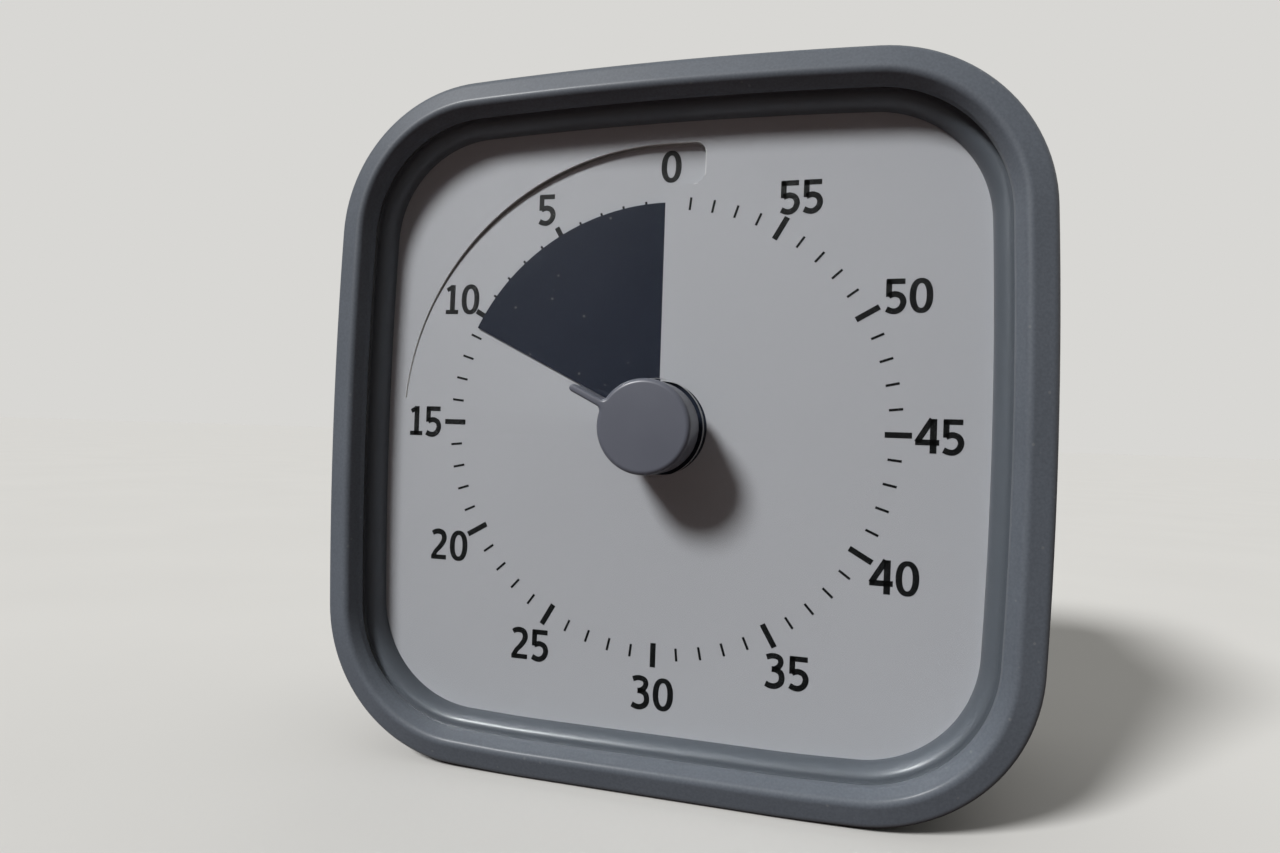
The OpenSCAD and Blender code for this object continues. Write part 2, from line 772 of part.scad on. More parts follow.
// The piezo disc in its ring, behind the holes in the back.
module buzzer() color("goldenrod") upright() translate([buzzer_at.x, buzzer_at.y, 0]) {
    low = panel_z + 2;
    tube(buzzer_r, buzzer_r - 1.2, low, low + 2.6);
    rod(buzzer_r - 1, low + 1.4, low + 1.7);
    rod(buzzer_r - 4, low + 1.6, low + 1.9);
}

module switch_body() color("silver") upright() translate([switch_at.x, switch_at.y, 0]) difference() {
    block([-4.6, -2.1, board_z - 3.2], [4.6, 2.1, board_z]);
    block([-3.5, -1.3, board_z - 4], [3.5, 1.3, board_z - 1]);
}

// The alarm's slide switch, drawn at the end of its travel that turns the sound on.
module switch_slider() color("black") upright() translate([switch_at.x - switch_travel / 2, switch_at.y, 0]) {
    block([-1.7, -1.15, board_z - 3], [1.7, 1.15, board_z - 1.2]);
    difference() {
        block([-1.1, -1.1, panel_z + 0.1], [1.1, 1.1, board_z - 2.9]);
        for (x = [-0.6, 0, 0.6]) block([x - 0.12, -2, panel_z], [x + 0.12, 2, panel_z + 0.35]);
    }
}

module battery() color("orange") upright() translate([cell_end, cell_y, cell_z]) rotate([0, -90, 0]) {
    round = 0.5;
    rotate_extrude() polygon([
        [0, 0], [2.75, 0], [2.75, 1], [cell_d / 2 - round, 1], [cell_d / 2, 1 + round],
        [cell_d / 2, cell_l - round], [cell_d / 2 - round, cell_l], [0, cell_l],
    ]);
}

// The coil spring at the flat end of the cell, with its plate and solder tab.
module battery_spring() color("silver") upright() {
    wall_x = -bay_half.x;
    turns = 4;
    start = wall_x + 0.75;
    rise = cell_end - cell_l - 0.35 - start;
    block([wall_x, cell_y - 5, cell_z - 5], [wall_x + 0.4, cell_y + 5, cell_z + 5]);
    block([wall_x - 2.6, cell_y + 3, -24.6], [wall_x + 0.3, cell_y + 5, -24.2]);
    wire([
        for (i = [0 : 14 * turns])
            let (t = i / (14 * turns), r = 4.2 - 1.6 * t, a = 360 * turns * t)
            [start + rise * t, cell_y + r * cos(a), cell_z + r * sin(a)]
    ], 0.35, [1, 0, 0]);
}

module battery_plate() color("silver") upright() {
    wall_x = bay_half.x;
    block([wall_x - 0.4, cell_y - 5, cell_z - 5], [wall_x, cell_y + 5, cell_z + 5]);
    block([cell_end + 0.05, cell_y - 1.5, cell_z - 1.5], [wall_x - 0.3, cell_y + 1.5, cell_z + 1.5]);
    block([wall_x - 0.3, cell_y + 3, -24.6], [wall_x + 2.6, cell_y + 5, -24.2]);
}

// The battery door turns on pins at its lower edge, which is rounded about the same axis.
module battery_door() color("darkslategray") upright() {
    x = door_half.x;
    difference() {
        union() {
            block([-x, hinge_y, panel_z], [x, cell_y + door_half.y, panel_z + door_t]);
            translate([-x, hinge_y, hinge_z]) rotate([0, 90, 0]) cylinder(r = door_round, h = 2 * x);
            translate([-x - hinge_pin_l, hinge_y, hinge_z]) rotate([0, 90, 0])
                cylinder(r = hinge_pin_r, h = 2 * (x + hinge_pin_l));
            block([-4, cell_y + 6.2, panel_z + 1], [4, cell_y + 7.1, panel_z + 3.4]);
            for (i = [-1 : 1]) translate([0, cell_y + 4.5 * i, panel_z])
                block([-24, -3, 1], [-23, -2, 1.7]);
        }
        for (i = [0 : 3]) block(
            [-6, cell_y + 8 - 1.1 * i, panel_z - 1],
            [6, cell_y + 8.5 - 1.1 * i, panel_z + 0.3]
        );
    }
}

// ---------------------------------------------------------------- fasteners

module case_screws() color("silver") upright() at_corners(post_at, post_at)
    screw(screw_seat, 2.2, 1.5, screw_r, 9.5);

module carrier_screws() color("silver") upright() at_corners(carrier_screw_at.x, carrier_screw_at.y)
    screw(carrier_floor - shelf_t, 1.9, 1.2, 1, 5);

module movement_screws() color("silver") upright() movement_posts()
    screw(cover_z, 1.6, 1, 0.8, 11.5);

module board_screws() color("silver") upright() for (p = board_post_at)
    translate([p.x, p.y, 0]) mirror([0, 0, 1]) screw(-board_z - board_t, 1.8, 1.1, 0.9, 4);

// ---------------------------------------------------------------- leads

module battery_leads() color("firebrick") upright() {
    tab_z = -24.0;
    wire([
        [30.1, -16, tab_z], [31.2, -14, tab_z], [32, -10, -25], [32, -6, -28],
        [31, -3.4, -29.6], [30, -2.6, pad_z + 0.2], [29, -2.2, pad_z],
    ], lead_r);
    wire([
        [-30.1, -16, tab_z], [-31.4, -13, tab_z], [-30, -9, -25], [-24, -6, -27.5],
        [-14, -1, -28.6], [-6, 3.6, -29.2], [-2, 4.8, pad_z + 0.3], [0, 5, pad_z],
    ], lead_r);
}

module buzzer_leads() color("black") upright() for (p = buzzer_pads)
    wire([
        [-9.6, p.y, panel_z + 4.9], [-8.4, p.y, -31], [-6, p.y, -29.6],
        [-3, p.y, -29], [-1, p.y, pad_z + 0.3], [p.x, p.y, pad_z],
    ], lead_r);

module motor_leads() color("royalblue") upright() for (p = motor_pads)
    wire([
        [p.x, motor_at.y + motor_r + 1.9, cover_z - motor_l + 1.6], [p.x, 17.5, -21], [p.x, 20, -23],
        [p.x, 21, -26], [p.x, 20.6, -28.6], [p.x, 20, pad_z],
    ], lead_r);

sleeve();
front_case();
rear_case();
dial_surround();
lens();
dial_face();
dial_carrier();
timer_disk();
disk_collar();
knob();
spindle();
spindle_wheel();
clutch_spring();
retaining_clip();
zero_cam();
idler_wheel();
idler_pin();
motor();
motor_pinion();
movement_plate();
movement_cover();
spindle_bush();
alarm_contacts();
circuit_board();
board_parts();
buzzer();
switch_body();
switch_slider();
battery();
battery_spring();
battery_plate();
battery_door();
case_screws();
carrier_screws();
movement_screws();
board_screws();
battery_leads();
buzzer_leads();
motor_leads();
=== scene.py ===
"""The visible surfaces, finishes, light and camera of a visual countdown timer.

Shapes are worked out in the dial's own frame, in millimetres: x to the right, y up, z out of the
printed face towards the reader, with the knob's axis at the origin. Angles run counter-clockwise
from 12 o'clock, as the minutes do. stand() carries them into the part's frame, in metres.
"""

import json

import bpy
import numpy as np
from bpy.props import FloatProperty, FloatVectorProperty, PointerProperty
from mathutils import Matrix, Vector
from mathutils.geometry import tessellate_polygon


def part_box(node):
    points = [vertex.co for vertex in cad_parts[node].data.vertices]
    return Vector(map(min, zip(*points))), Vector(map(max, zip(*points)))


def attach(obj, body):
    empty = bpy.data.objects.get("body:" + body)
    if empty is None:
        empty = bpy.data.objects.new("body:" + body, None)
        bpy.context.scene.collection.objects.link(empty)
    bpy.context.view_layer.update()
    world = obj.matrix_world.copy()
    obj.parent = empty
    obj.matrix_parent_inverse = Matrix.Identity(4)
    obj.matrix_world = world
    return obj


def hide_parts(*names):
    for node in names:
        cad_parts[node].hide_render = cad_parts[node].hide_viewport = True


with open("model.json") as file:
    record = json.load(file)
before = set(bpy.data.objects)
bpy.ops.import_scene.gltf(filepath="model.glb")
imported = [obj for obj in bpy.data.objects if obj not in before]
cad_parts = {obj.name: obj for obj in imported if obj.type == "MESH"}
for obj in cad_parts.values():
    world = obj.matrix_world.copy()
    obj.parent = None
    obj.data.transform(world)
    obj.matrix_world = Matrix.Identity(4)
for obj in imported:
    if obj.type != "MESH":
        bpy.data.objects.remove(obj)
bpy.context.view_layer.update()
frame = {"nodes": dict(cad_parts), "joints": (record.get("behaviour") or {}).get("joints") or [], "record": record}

bl_info = {
    "name": "Visual countdown timer",
    "version": (1, 0, 0),
    "blender": (4, 5, 0),
    "location": "3D View > Sidebar > Timer",
    "description": "Builds the visible surfaces, finishes and studio of a visual countdown timer",
    "category": "Add Mesh",
}

MM = 0.001
KNOB_TURN = next(joint for joint in frame["joints"] if joint["name"] == "knob_turn")
KNOB_AXIS = KNOB_TURN["pos_m"]
SET_ANGLE = -KNOB_TURN["range_deg"][0]
DIAL_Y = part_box("dial_face")[0].y
HALF_WIDTH = (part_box("sleeve")[1].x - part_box("sleeve")[0].x) / 2 / MM
DEGREES_A_MINUTE = 6
SHARP = 35.0  # degrees


def level(y):
    """Height above the dial, in millimetres, of a plane of the part's frame."""
    return (DIAL_Y - y) / MM


# ---------------------------------------------------------------- arrays and meshes


def stand(points):
    """Dial-frame millimetres as part-frame metres: z comes forward along -Y and y stands up as Z,
    from the knob's axis in the dial's plane."""
    p = np.asarray(points, float)
    return np.stack(
        [p[..., 0] * MM + KNOB_AXIS[0], DIAL_Y - p[..., 2] * MM, p[..., 1] * MM + KNOB_AXIS[2]], -1
    )


def polar(radius, degrees):
    """The point at a radius and an angle counter-clockwise from 12 o'clock: minus the radius times
    the sine across, and the radius times the cosine up."""
    a = np.radians(degrees)
    return np.stack([-radius * np.sin(a), radius * np.cos(a)], -1)


def arc(centre, radius, start, end, steps):
    """Points round a circle, from start to end degrees counter-clockwise from +X: the centre plus
    the radius times the cosine across and the sine up."""
    a = np.radians(np.linspace(start, end, steps))
    return np.stack([centre[0] + radius * np.cos(a), centre[1] + radius * np.sin(a)], -1)


def grid_faces(rows, columns, close_rows=False, close_columns=False, offset=0):
    """Quads of a rows x columns grid: face (i, j) joins rows i and i + 1 at columns j and j + 1."""
    i, j = np.meshgrid(
        np.arange(rows if close_rows else rows - 1),
        np.arange(columns if close_columns else columns - 1),
        indexing="ij",
    )
    i2, j2 = (i + 1) % rows, (j + 1) % columns
    quads = np.stack([i * columns + j, i * columns + j2, i2 * columns + j2, i2 * columns + j], -1)
    return (quads.reshape(-1, 4) + offset).tolist()


def tube_faces(rows, columns, offset=0, turned_over=False):
    """Faces of a closed tube: quads between each two of its rings, and one face over each end."""
    last = offset + (rows - 1) * columns
    faces = grid_faces(rows, columns, close_columns=True, offset=offset)
    faces += [list(range(offset, offset + columns))[::-1], list(range(last, last + columns))]
    return [face[::-1] for face in faces] if turned_over else faces


def make_piece(name, points, faces, material, body):
    """A mesh piece from dial-frame points, smooth but for edges that turn by more than SHARP."""
    mesh = bpy.data.meshes.new(name)
    mesh.from_pydata(stand(points).reshape(-1, 3).tolist(), [], faces)
    mesh.validate()
    mesh.shade_smooth()
    mesh.set_sharp_from_angle(angle=np.radians(SHARP))
    mesh.materials.append(material)
    piece = bpy.data.objects.new(name, mesh)
    bpy.context.scene.collection.objects.link(piece)
    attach(piece, body)
    return piece


def ring_piece(name, profile, shape, material, body):
    """A closed profile of (inset, z) points carried round the case outline: each point becomes the
    outline moved in by its inset, at its height."""
    loops = [
        np.column_stack([outline(shape, inset), np.full(OUTLINE_POINTS, z)]) for inset, z in profile
    ]
    faces = grid_faces(len(profile), OUTLINE_POINTS, True, True)
    return make_piece(name, np.stack(loops), faces, material, body)


# ---------------------------------------------------------------- the case outline

SIDE_STEPS = 16
CORNER_STEPS = 28
OUTLINE_POINTS = 4 * (SIDE_STEPS + CORNER_STEPS)


def outline(shape, inset):
    """The case outline moved in by inset: a long arc along each side and an arc at each corner,
    which meet as tangents. The underside's arc is trimmed to a flat land.

    A side's arc has its centre k beyond the middle of the case, and a corner's has its centre
    at (c, c). The two touch where the distance between the centres is the radii's difference.
    """
    side, corner = shape.side_radius, shape.corner_radius
    k = side - HALF_WIDTH
    c = (-k + np.sqrt(2 * (side - corner) ** 2 - k * k)) / 2
    sweep = np.arctan2(c, c + k)
    t = sweep * (2 * np.arange(SIDE_STEPS) / SIDE_STEPS - 1)
    top = np.stack([(side - inset) * np.sin(t), (side - inset) * np.cos(t) - k], -1)
    t = sweep + (np.pi / 2 - 2 * sweep) * np.arange(CORNER_STEPS) / CORNER_STEPS
    bend = np.stack([c + (corner - inset) * np.sin(t), c + (corner - inset) * np.cos(t)], -1)
    quarter = np.concatenate([top, bend])
    turns = [quarter]
    for _ in range(3):
        quarter = np.stack([quarter[:, 1], -quarter[:, 0]], -1)
        turns.append(quarter)
    points = np.concatenate(turns)
    points[:, 1] = np.maximum(points[:, 1], inset - HALF_WIDTH + shape.foot_trim)
    return points


# ---------------------------------------------------------------- settings


def linear(hex_colour):
    """An sRGB hex colour as linear red, green and blue: in proportion near black, and by a power
    of 2.4 above that."""
    value = np.array([int(hex_colour[i : i + 2], 16) for i in (1, 3, 5)]) / 255
    curve = ((value + 0.055) / 1.055) ** 2.4
    return tuple(map(float, np.where(value <= 0.04045, value / 12.92, curve)))


def size(name, description, default):
    """A length in millimetres. The scene's unit is the metre, so it is kept as a plain number."""
    text = description + ", in millimetres"
    return FloatProperty(name=name, description=text, default=default, min=0.0)


def angle(name, description, degrees):
    """An angle, kept in degrees."""
    return FloatProperty(name=name, description=description + ", in degrees", default=degrees)


def colour(name, description, hex_colour):
    """A colour, written as sRGB hex and kept linear."""
    return FloatVectorProperty(
        name=name,
        description=description,
        default=linear(hex_colour),
        subtype="COLOR",
        min=0.0,
        max=1.0,
    )


class TimerShape(bpy.types.PropertyGroup):
    """Sizes of the case, sleeve, window surround and knob."""

    side_radius: size("Side radius", "Radius of the long arc along each side", 600.0)
    corner_radius: size("Corner radius", "Radius of the sleeve's corners", 20.0)
    foot_trim: size("Foot trim", "Height trimmed off the underside's arc", 0.25)
    sleeve_wall: size("Sleeve wall", "Thickness of the silicone", 2.0)
    shoulder: size("Shoulder radius", "Rounding of the sleeve's outer front edge", 1.2)
    bevel: angle("Bevel", "Tilt of the flat bevel round the front", 18.0)
    crest_inset: size("Crest inset", "Distance from the outer side to the top of the crest", 3.0)
    crest_round: size("Crest rounding", "Rounding of the crest", 0.9)
    inner_slope: angle("Inner slope", "Tilt of the slope from the crest to the window", 60.0)
    foot_inset: size("Foot inset", "Distance from the outer side to the edge on the window", 4.4)
    back_round: size("Back rounding", "Rounding of the sleeve's back edge", 1.6)
    back_lip: size("Back lip", "Width of the sleeve's lip at the back", 6.6)
    knob_radius: size("Knob radius", "Radius of the knob", 5.7)
    knob_edge: size("Knob edge", "Rounding of the knob's front edge", 0.6)
    pointer_width: size("Pointer width", "Width of the pointer", 0.95)
    pointer_edge: size("Pointer edge", "Rounding of the pointer's front edge", 0.3)
    pointer_depth: size("Pointer depth", "Depth of the pointer, front to back", 3.7)
    pointer_reach: size("Pointer reach", "Reach of the pointer from the knob's axis", 10.4)
    pointer_fillet: size("Pointer fillet", "Fillet between the pointer and the knob", 0.7)


class TimerPrint(bpy.types.PropertyGroup):
    """Sizes of the dial's print."""

    tick_radius: size("Tick radius", "Outer end of the short ticks", 29.53)
    tick_length: size("Tick length", "Length of the short ticks", 1.62)
    tick_width: size("Tick width", "Width of the short ticks", 0.3)
    bold_radius: size("Bold tick radius", "Outer end of the bold ticks", 30.43)
    bold_length: size("Bold tick length", "Length of the bold ticks", 3.07)
    bold_width: size("Bold tick width", "Width of the bold ticks", 0.7)
    figure_height: size("Figure height", "Height of the figures", 4.05)
    side_stroke: size("Upright stroke", "Width of the figures' upright strokes", 0.74)
    flat_stroke: size("Level stroke", "Width of the figures' level strokes", 0.62)
    # Width of the painted highlight along the tab's lit cut edges
    cut_width: size("Painted cut highlight", "Width of the pale line beside the tab", 0.1)


class TimerColours(bpy.types.PropertyGroup):
    """Colours of the parts that show."""

    silicone: colour("Sleeve", "Silicone sleeve", "#565c64")
    case: colour("Case", "Case moulding", "#3f444c")
    surround: colour("Surround", "Frame round the dial", "#555a61")
    knob: colour("Knob", "Knob and pointer", "#595c66")
    film: colour("Film", "Coloured film disk", "#1d222e")
    dial: colour("Dial", "Printed dial sheet", "#b0b1b6")
    ink: colour("Ink", "Ticks and figures", "#050607")
    floor: colour("Floor", "Studio floor", "#cfcecb")


# ---------------------------------------------------------------- materials

# A noise's values mostly lie in this span, which is stretched over the whole of a tone or gloss.
NOISE_SPAN = {"From Min": 0.3, "From Max": 0.7}

# Specks of dust lie about this many millimetres apart, and each has this share of that for its
# radius. A real speck is about 0.1 mm across, and is drawn three or four times as large to show.
DUST_SPACING = 2.2
DUST_REACH = 0.1
DUST = "#a5a5a0"

CUT_SKIN = 0.02  # millimetres round the window's hole that count as its wall

# Shares of the cell's length: the middle of its wrap and how far that reaches to each side, which
# is short of the positive button, and the start of the paler band
WRAP_MIDDLE, WRAP_REACH = 0.482, 0.472
BAND_START = 0.72


def add(tree, kind, inputs=None, **settings):
    """Adds one shader node: settings are its properties, and inputs maps a socket to a value or
    to the output that feeds it."""
    made = tree.nodes.new("ShaderNode" + kind)
    for name, value in settings.items():
        setattr(made, name, value)
    for socket, value in (inputs or {}).items():
        if isinstance(value, bpy.types.NodeSocket):
            tree.links.new(value, made.inputs[socket])
        else:
            made.inputs[socket].default_value = value
    return made


def new_material(name):
    """An empty node material and its object coordinates, which are metres in the part's frame."""
    material = bpy.data.materials.new(name)
    material.use_nodes = True
    tree = material.node_tree
    tree.nodes.clear()
    return material, tree, add(tree, "TexCoord").outputs["Object"]


def per(millimetres):
    """Noise scale that gives features of about this size on metre coordinates: one over it."""
    return 1 / (millimetres * MM)


def tint(rgb, factor=1.0):
    """The colour with full alpha, made lighter or darker by a factor."""
    return (*(min(1.0, c * factor) for c in rgb[:3]), 1.0)


def moulded(
    name,
    rgb,
    roughness,
    grain,
    depth,
    mottle=0.04,
    patch=14.0,
    specular=0.5,
    specks=0.0,
    sheen=0.0,
    core=None,
    flecks=0.0,
    coat=0.0,
):
    """A moulded or printed surface: fine grain as a bump, and soft patches of tone and gloss.

    grain and patch are sizes and depth is the bump's height, in millimetres. mottle is the share
    by which the tone drifts from patch to patch, and flecks the share by which it follows the
    grain. specks is how strongly pale dust shows, and sheen how strongly the surface pales at a
    glancing angle. coat is the share of a smoother skin, which draws thin highlights on the
    roundings. core is the unprinted colour of a sheet, which its cut edges show.
    """
    material, tree, at = new_material(name)
    cloud = {"Vector": at, "Scale": per(patch), "Detail": 3.0}
    patches = add(tree, "TexNoise", cloud).outputs["Fac"]
    tone = add(tree, "ValToRGB", {"Fac": patches})
    ends = zip(tone.color_ramp.elements, NOISE_SPAN.values(), (1 - mottle, 1 + mottle))
    for element, place, factor in ends:
        element.position = place
        element.color = tint(rgb, factor)
    shown = tone.outputs["Color"]
    if specks:
        cells = {"Vector": at, "Scale": per(DUST_SPACING), "Randomness": 1.0}
        near = add(tree, "TexVoronoi", cells, feature="F1").outputs["Distance"]
        fade = {"Value": near, "From Min": DUST_REACH, "From Max": DUST_REACH / 2, "To Max": specks}
        dot = add(tree, "MapRange", fade).outputs["Result"]
        parts = {"Factor": dot, "A": shown, "B": tint(linear(DUST))}
        shown = add(tree, "Mix", parts, data_type="RGBA").outputs["Result"]
    if flecks:
        cloud = {"Vector": at, "Scale": per(grain), "Detail": 1.0}
        fine = add(tree, "TexNoise", cloud).outputs["Fac"]
        drift = {"Value": fine, **NOISE_SPAN, "To Min": 1 - flecks, "To Max": 1 + flecks}
        share = add(tree, "MapRange", drift).outputs["Result"]
        parts = {0: shown, "Scale": share}
        shown = add(tree, "VectorMath", parts, operation="SCALE").outputs["Vector"]
    if core:
        # The printed face looks along Y, so a cut edge is where the normal turns away from Y.
        facing = add(tree, "SeparateXYZ", {"Vector": at.node.outputs["Normal"]}).outputs["Y"]
        face_on = add(tree, "Math", {0: facing}, operation="ABSOLUTE").outputs[0]
        fade = {"Value": face_on, "From Min": 0.8, "From Max": 0.3}
        cut = add(tree, "MapRange", fade).outputs["Result"]
        parts = {"Factor": cut, "A": shown, "B": tint(core)}
        shown = add(tree, "Mix", parts, data_type="RGBA").outputs["Result"]
    drift = {"Value": patches, **NOISE_SPAN, "To Min": roughness - 0.04, "To Max": roughness + 0.05}
    gloss = add(tree, "MapRange", drift).outputs["Result"]
    cloud = {"Vector": at, "Scale": per(grain), "Detail": 2.0}
    grit = add(tree, "TexNoise", cloud).outputs["Fac"]
    relief = {"Height": grit, "Strength": 0.5, "Distance": depth * MM}
    inputs = {
        "Base Color": shown,
        "Roughness": gloss,
        "Normal": add(tree, "Bump", relief).outputs["Normal"],
        "Specular IOR Level": specular,
        "IOR": 1.47,
    }
    if sheen:
        inputs |= {"Sheen Weight": sheen, "Sheen Roughness": 0.4}
    if coat:
        inputs |= {"Coat Weight": coat, "Coat Roughness": 0.23}
    shader = add(tree, "BsdfPrincipled", inputs)
    add(tree, "OutputMaterial", {"Surface": shader.outputs["BSDF"]})
    return material


def metal(name, rgb, roughness, line, stretch=1.0):
    """A bare metal with fine drawn or turned lines in its tone, its gloss and a slight bump: a
    noise about line millimetres fine, and stretch times as long along X."""
    material, tree, at = new_material(name)
    parts = {"Vector": at, "Scale": (1 / stretch, 1.0, 1.0)}
    drawn = add(tree, "Mapping", parts).outputs["Vector"]
    cloud = {"Vector": drawn, "Scale": per(line), "Detail": 4.0}
    streak = add(tree, "TexNoise", cloud).outputs["Fac"]
    tone = add(tree, "ValToRGB", {"Fac": streak})
    for element, place, factor in zip(tone.color_ramp.elements, NOISE_SPAN.values(), (0.88, 1.08)):
        element.position = place
        element.color = tint(rgb, factor)
    drift = {"Value": streak, **NOISE_SPAN, "To Min": roughness - 0.06, "To Max": roughness + 0.08}
    relief = {"Height": streak, "Strength": 0.2, "Distance": 0.01 * MM}
    inputs = {
        "Base Color": tone.outputs["Color"],
        "Metallic": 1.0,
        "Roughness": add(tree, "MapRange", drift).outputs["Result"],
        "Normal": add(tree, "Bump", relief).outputs["Normal"],
    }
    shader = add(tree, "BsdfPrincipled", inputs)
    add(tree, "OutputMaterial", {"Surface": shader.outputs["BSDF"]})
    return material


def clear_acrylic():
    """Polished acrylic sheet: clear, with a hard window-like reflection, and frosted on the wall
    of the knob's hole, which is where the distance from the knob's axis is the hole's radius.
    What lies behind it is lit as if through plain air, a little dimmed, so that no light is
    counted twice."""
    material, tree, at = new_material("polished acrylic")
    parts = {0: at, 1: tuple(KNOB_AXIS)}
    spoke = add(tree, "VectorMath", parts, operation="SUBTRACT").outputs["Vector"]
    parts = {0: spoke, 1: (1.0, 0.0, 1.0)}
    level_spoke = add(tree, "VectorMath", parts, operation="MULTIPLY").outputs["Vector"]
    radius = add(tree, "VectorMath", {0: level_spoke}, operation="LENGTH").outputs["Value"]
    parts = {0: radius, 1: (LENS_HOLE + CUT_SKIN) * MM}
    wall = add(tree, "Math", parts, operation="LESS_THAN").outputs[0]
    sawn = {"Base Color": tint(linear("#959799")), "Roughness": 0.55}
    frosted = add(tree, "BsdfPrincipled", sawn).outputs["BSDF"]
    polished = {
        "Base Color": tint(linear("#fdfefe")),
        "Roughness": 0.02,
        "IOR": 1.49,
        "Specular IOR Level": 0.2,
        "Transmission Weight": 1.0,
    }
    clear = add(tree, "BsdfPrincipled", polished).outputs["BSDF"]
    let_through = add(tree, "BsdfTransparent", {"Color": tint(linear("#f7f8f8"))}).outputs["BSDF"]
    path = add(tree, "LightPath").outputs
    parts = {0: path["Is Shadow Ray"], 1: path["Is Diffuse Ray"]}
    lighting = add(tree, "Math", parts, operation="MAXIMUM").outputs[0]
    pane = add(tree, "MixShader", {0: wall, 1: clear, 2: frosted}).outputs["Shader"]
    shader = add(tree, "MixShader", {0: lighting, 1: pane, 2: let_through}).outputs["Shader"]
    add(tree, "OutputMaterial", {"Surface": shader})
    return material


def dry_cell(wrap, band, bare):
    """A cell's glossy shrink sleeve, dark with a paler band by the positive end, and bare metal
    beyond both of its ends. The cell lies along X."""
    material, tree, at = new_material("shrink sleeve on a nickel can")
    low, high = (corner.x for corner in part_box("battery"))
    x = add(tree, "SeparateXYZ", {"Vector": at}).outputs["X"]
    span = {"Value": x, "From Min": low, "From Max": high}
    along = add(tree, "MapRange", span).outputs["Result"]
    parts = {0: along, 1: WRAP_MIDDLE, 2: WRAP_REACH}
    wrapped = add(tree, "Math", parts, operation="COMPARE").outputs[0]
    banded = add(tree, "Math", {0: along, 1: BAND_START}, operation="GREATER_THAN").outputs[0]
    parts = {"Factor": banded, "A": tint(wrap), "B": tint(band)}
    printed = add(tree, "Mix", parts, data_type="RGBA").outputs["Result"]
    parts = {"Factor": wrapped, "A": tint(bare), "B": printed}
    ripple = {"Vector": at, "Scale": per(1.5), "Detail": 2.0}
    relief = {
        "Height": add(tree, "TexNoise", ripple).outputs["Fac"],
        "Strength": 0.5,
        "Distance": 0.01 * MM,
    }
    inputs = {
        "Base Color": add(tree, "Mix", parts, data_type="RGBA").outputs["Result"],
        "Metallic": add(tree, "Math", {0: 1.0, 1: wrapped}, operation="SUBTRACT").outputs[0],
        "Roughness": 0.24,
        "Normal": add(tree, "Bump", relief).outputs["Normal"],
    }
    shader = add(tree, "BsdfPrincipled", inputs)
    add(tree, "OutputMaterial", {"Surface": shader.outputs["BSDF"]})
    return material


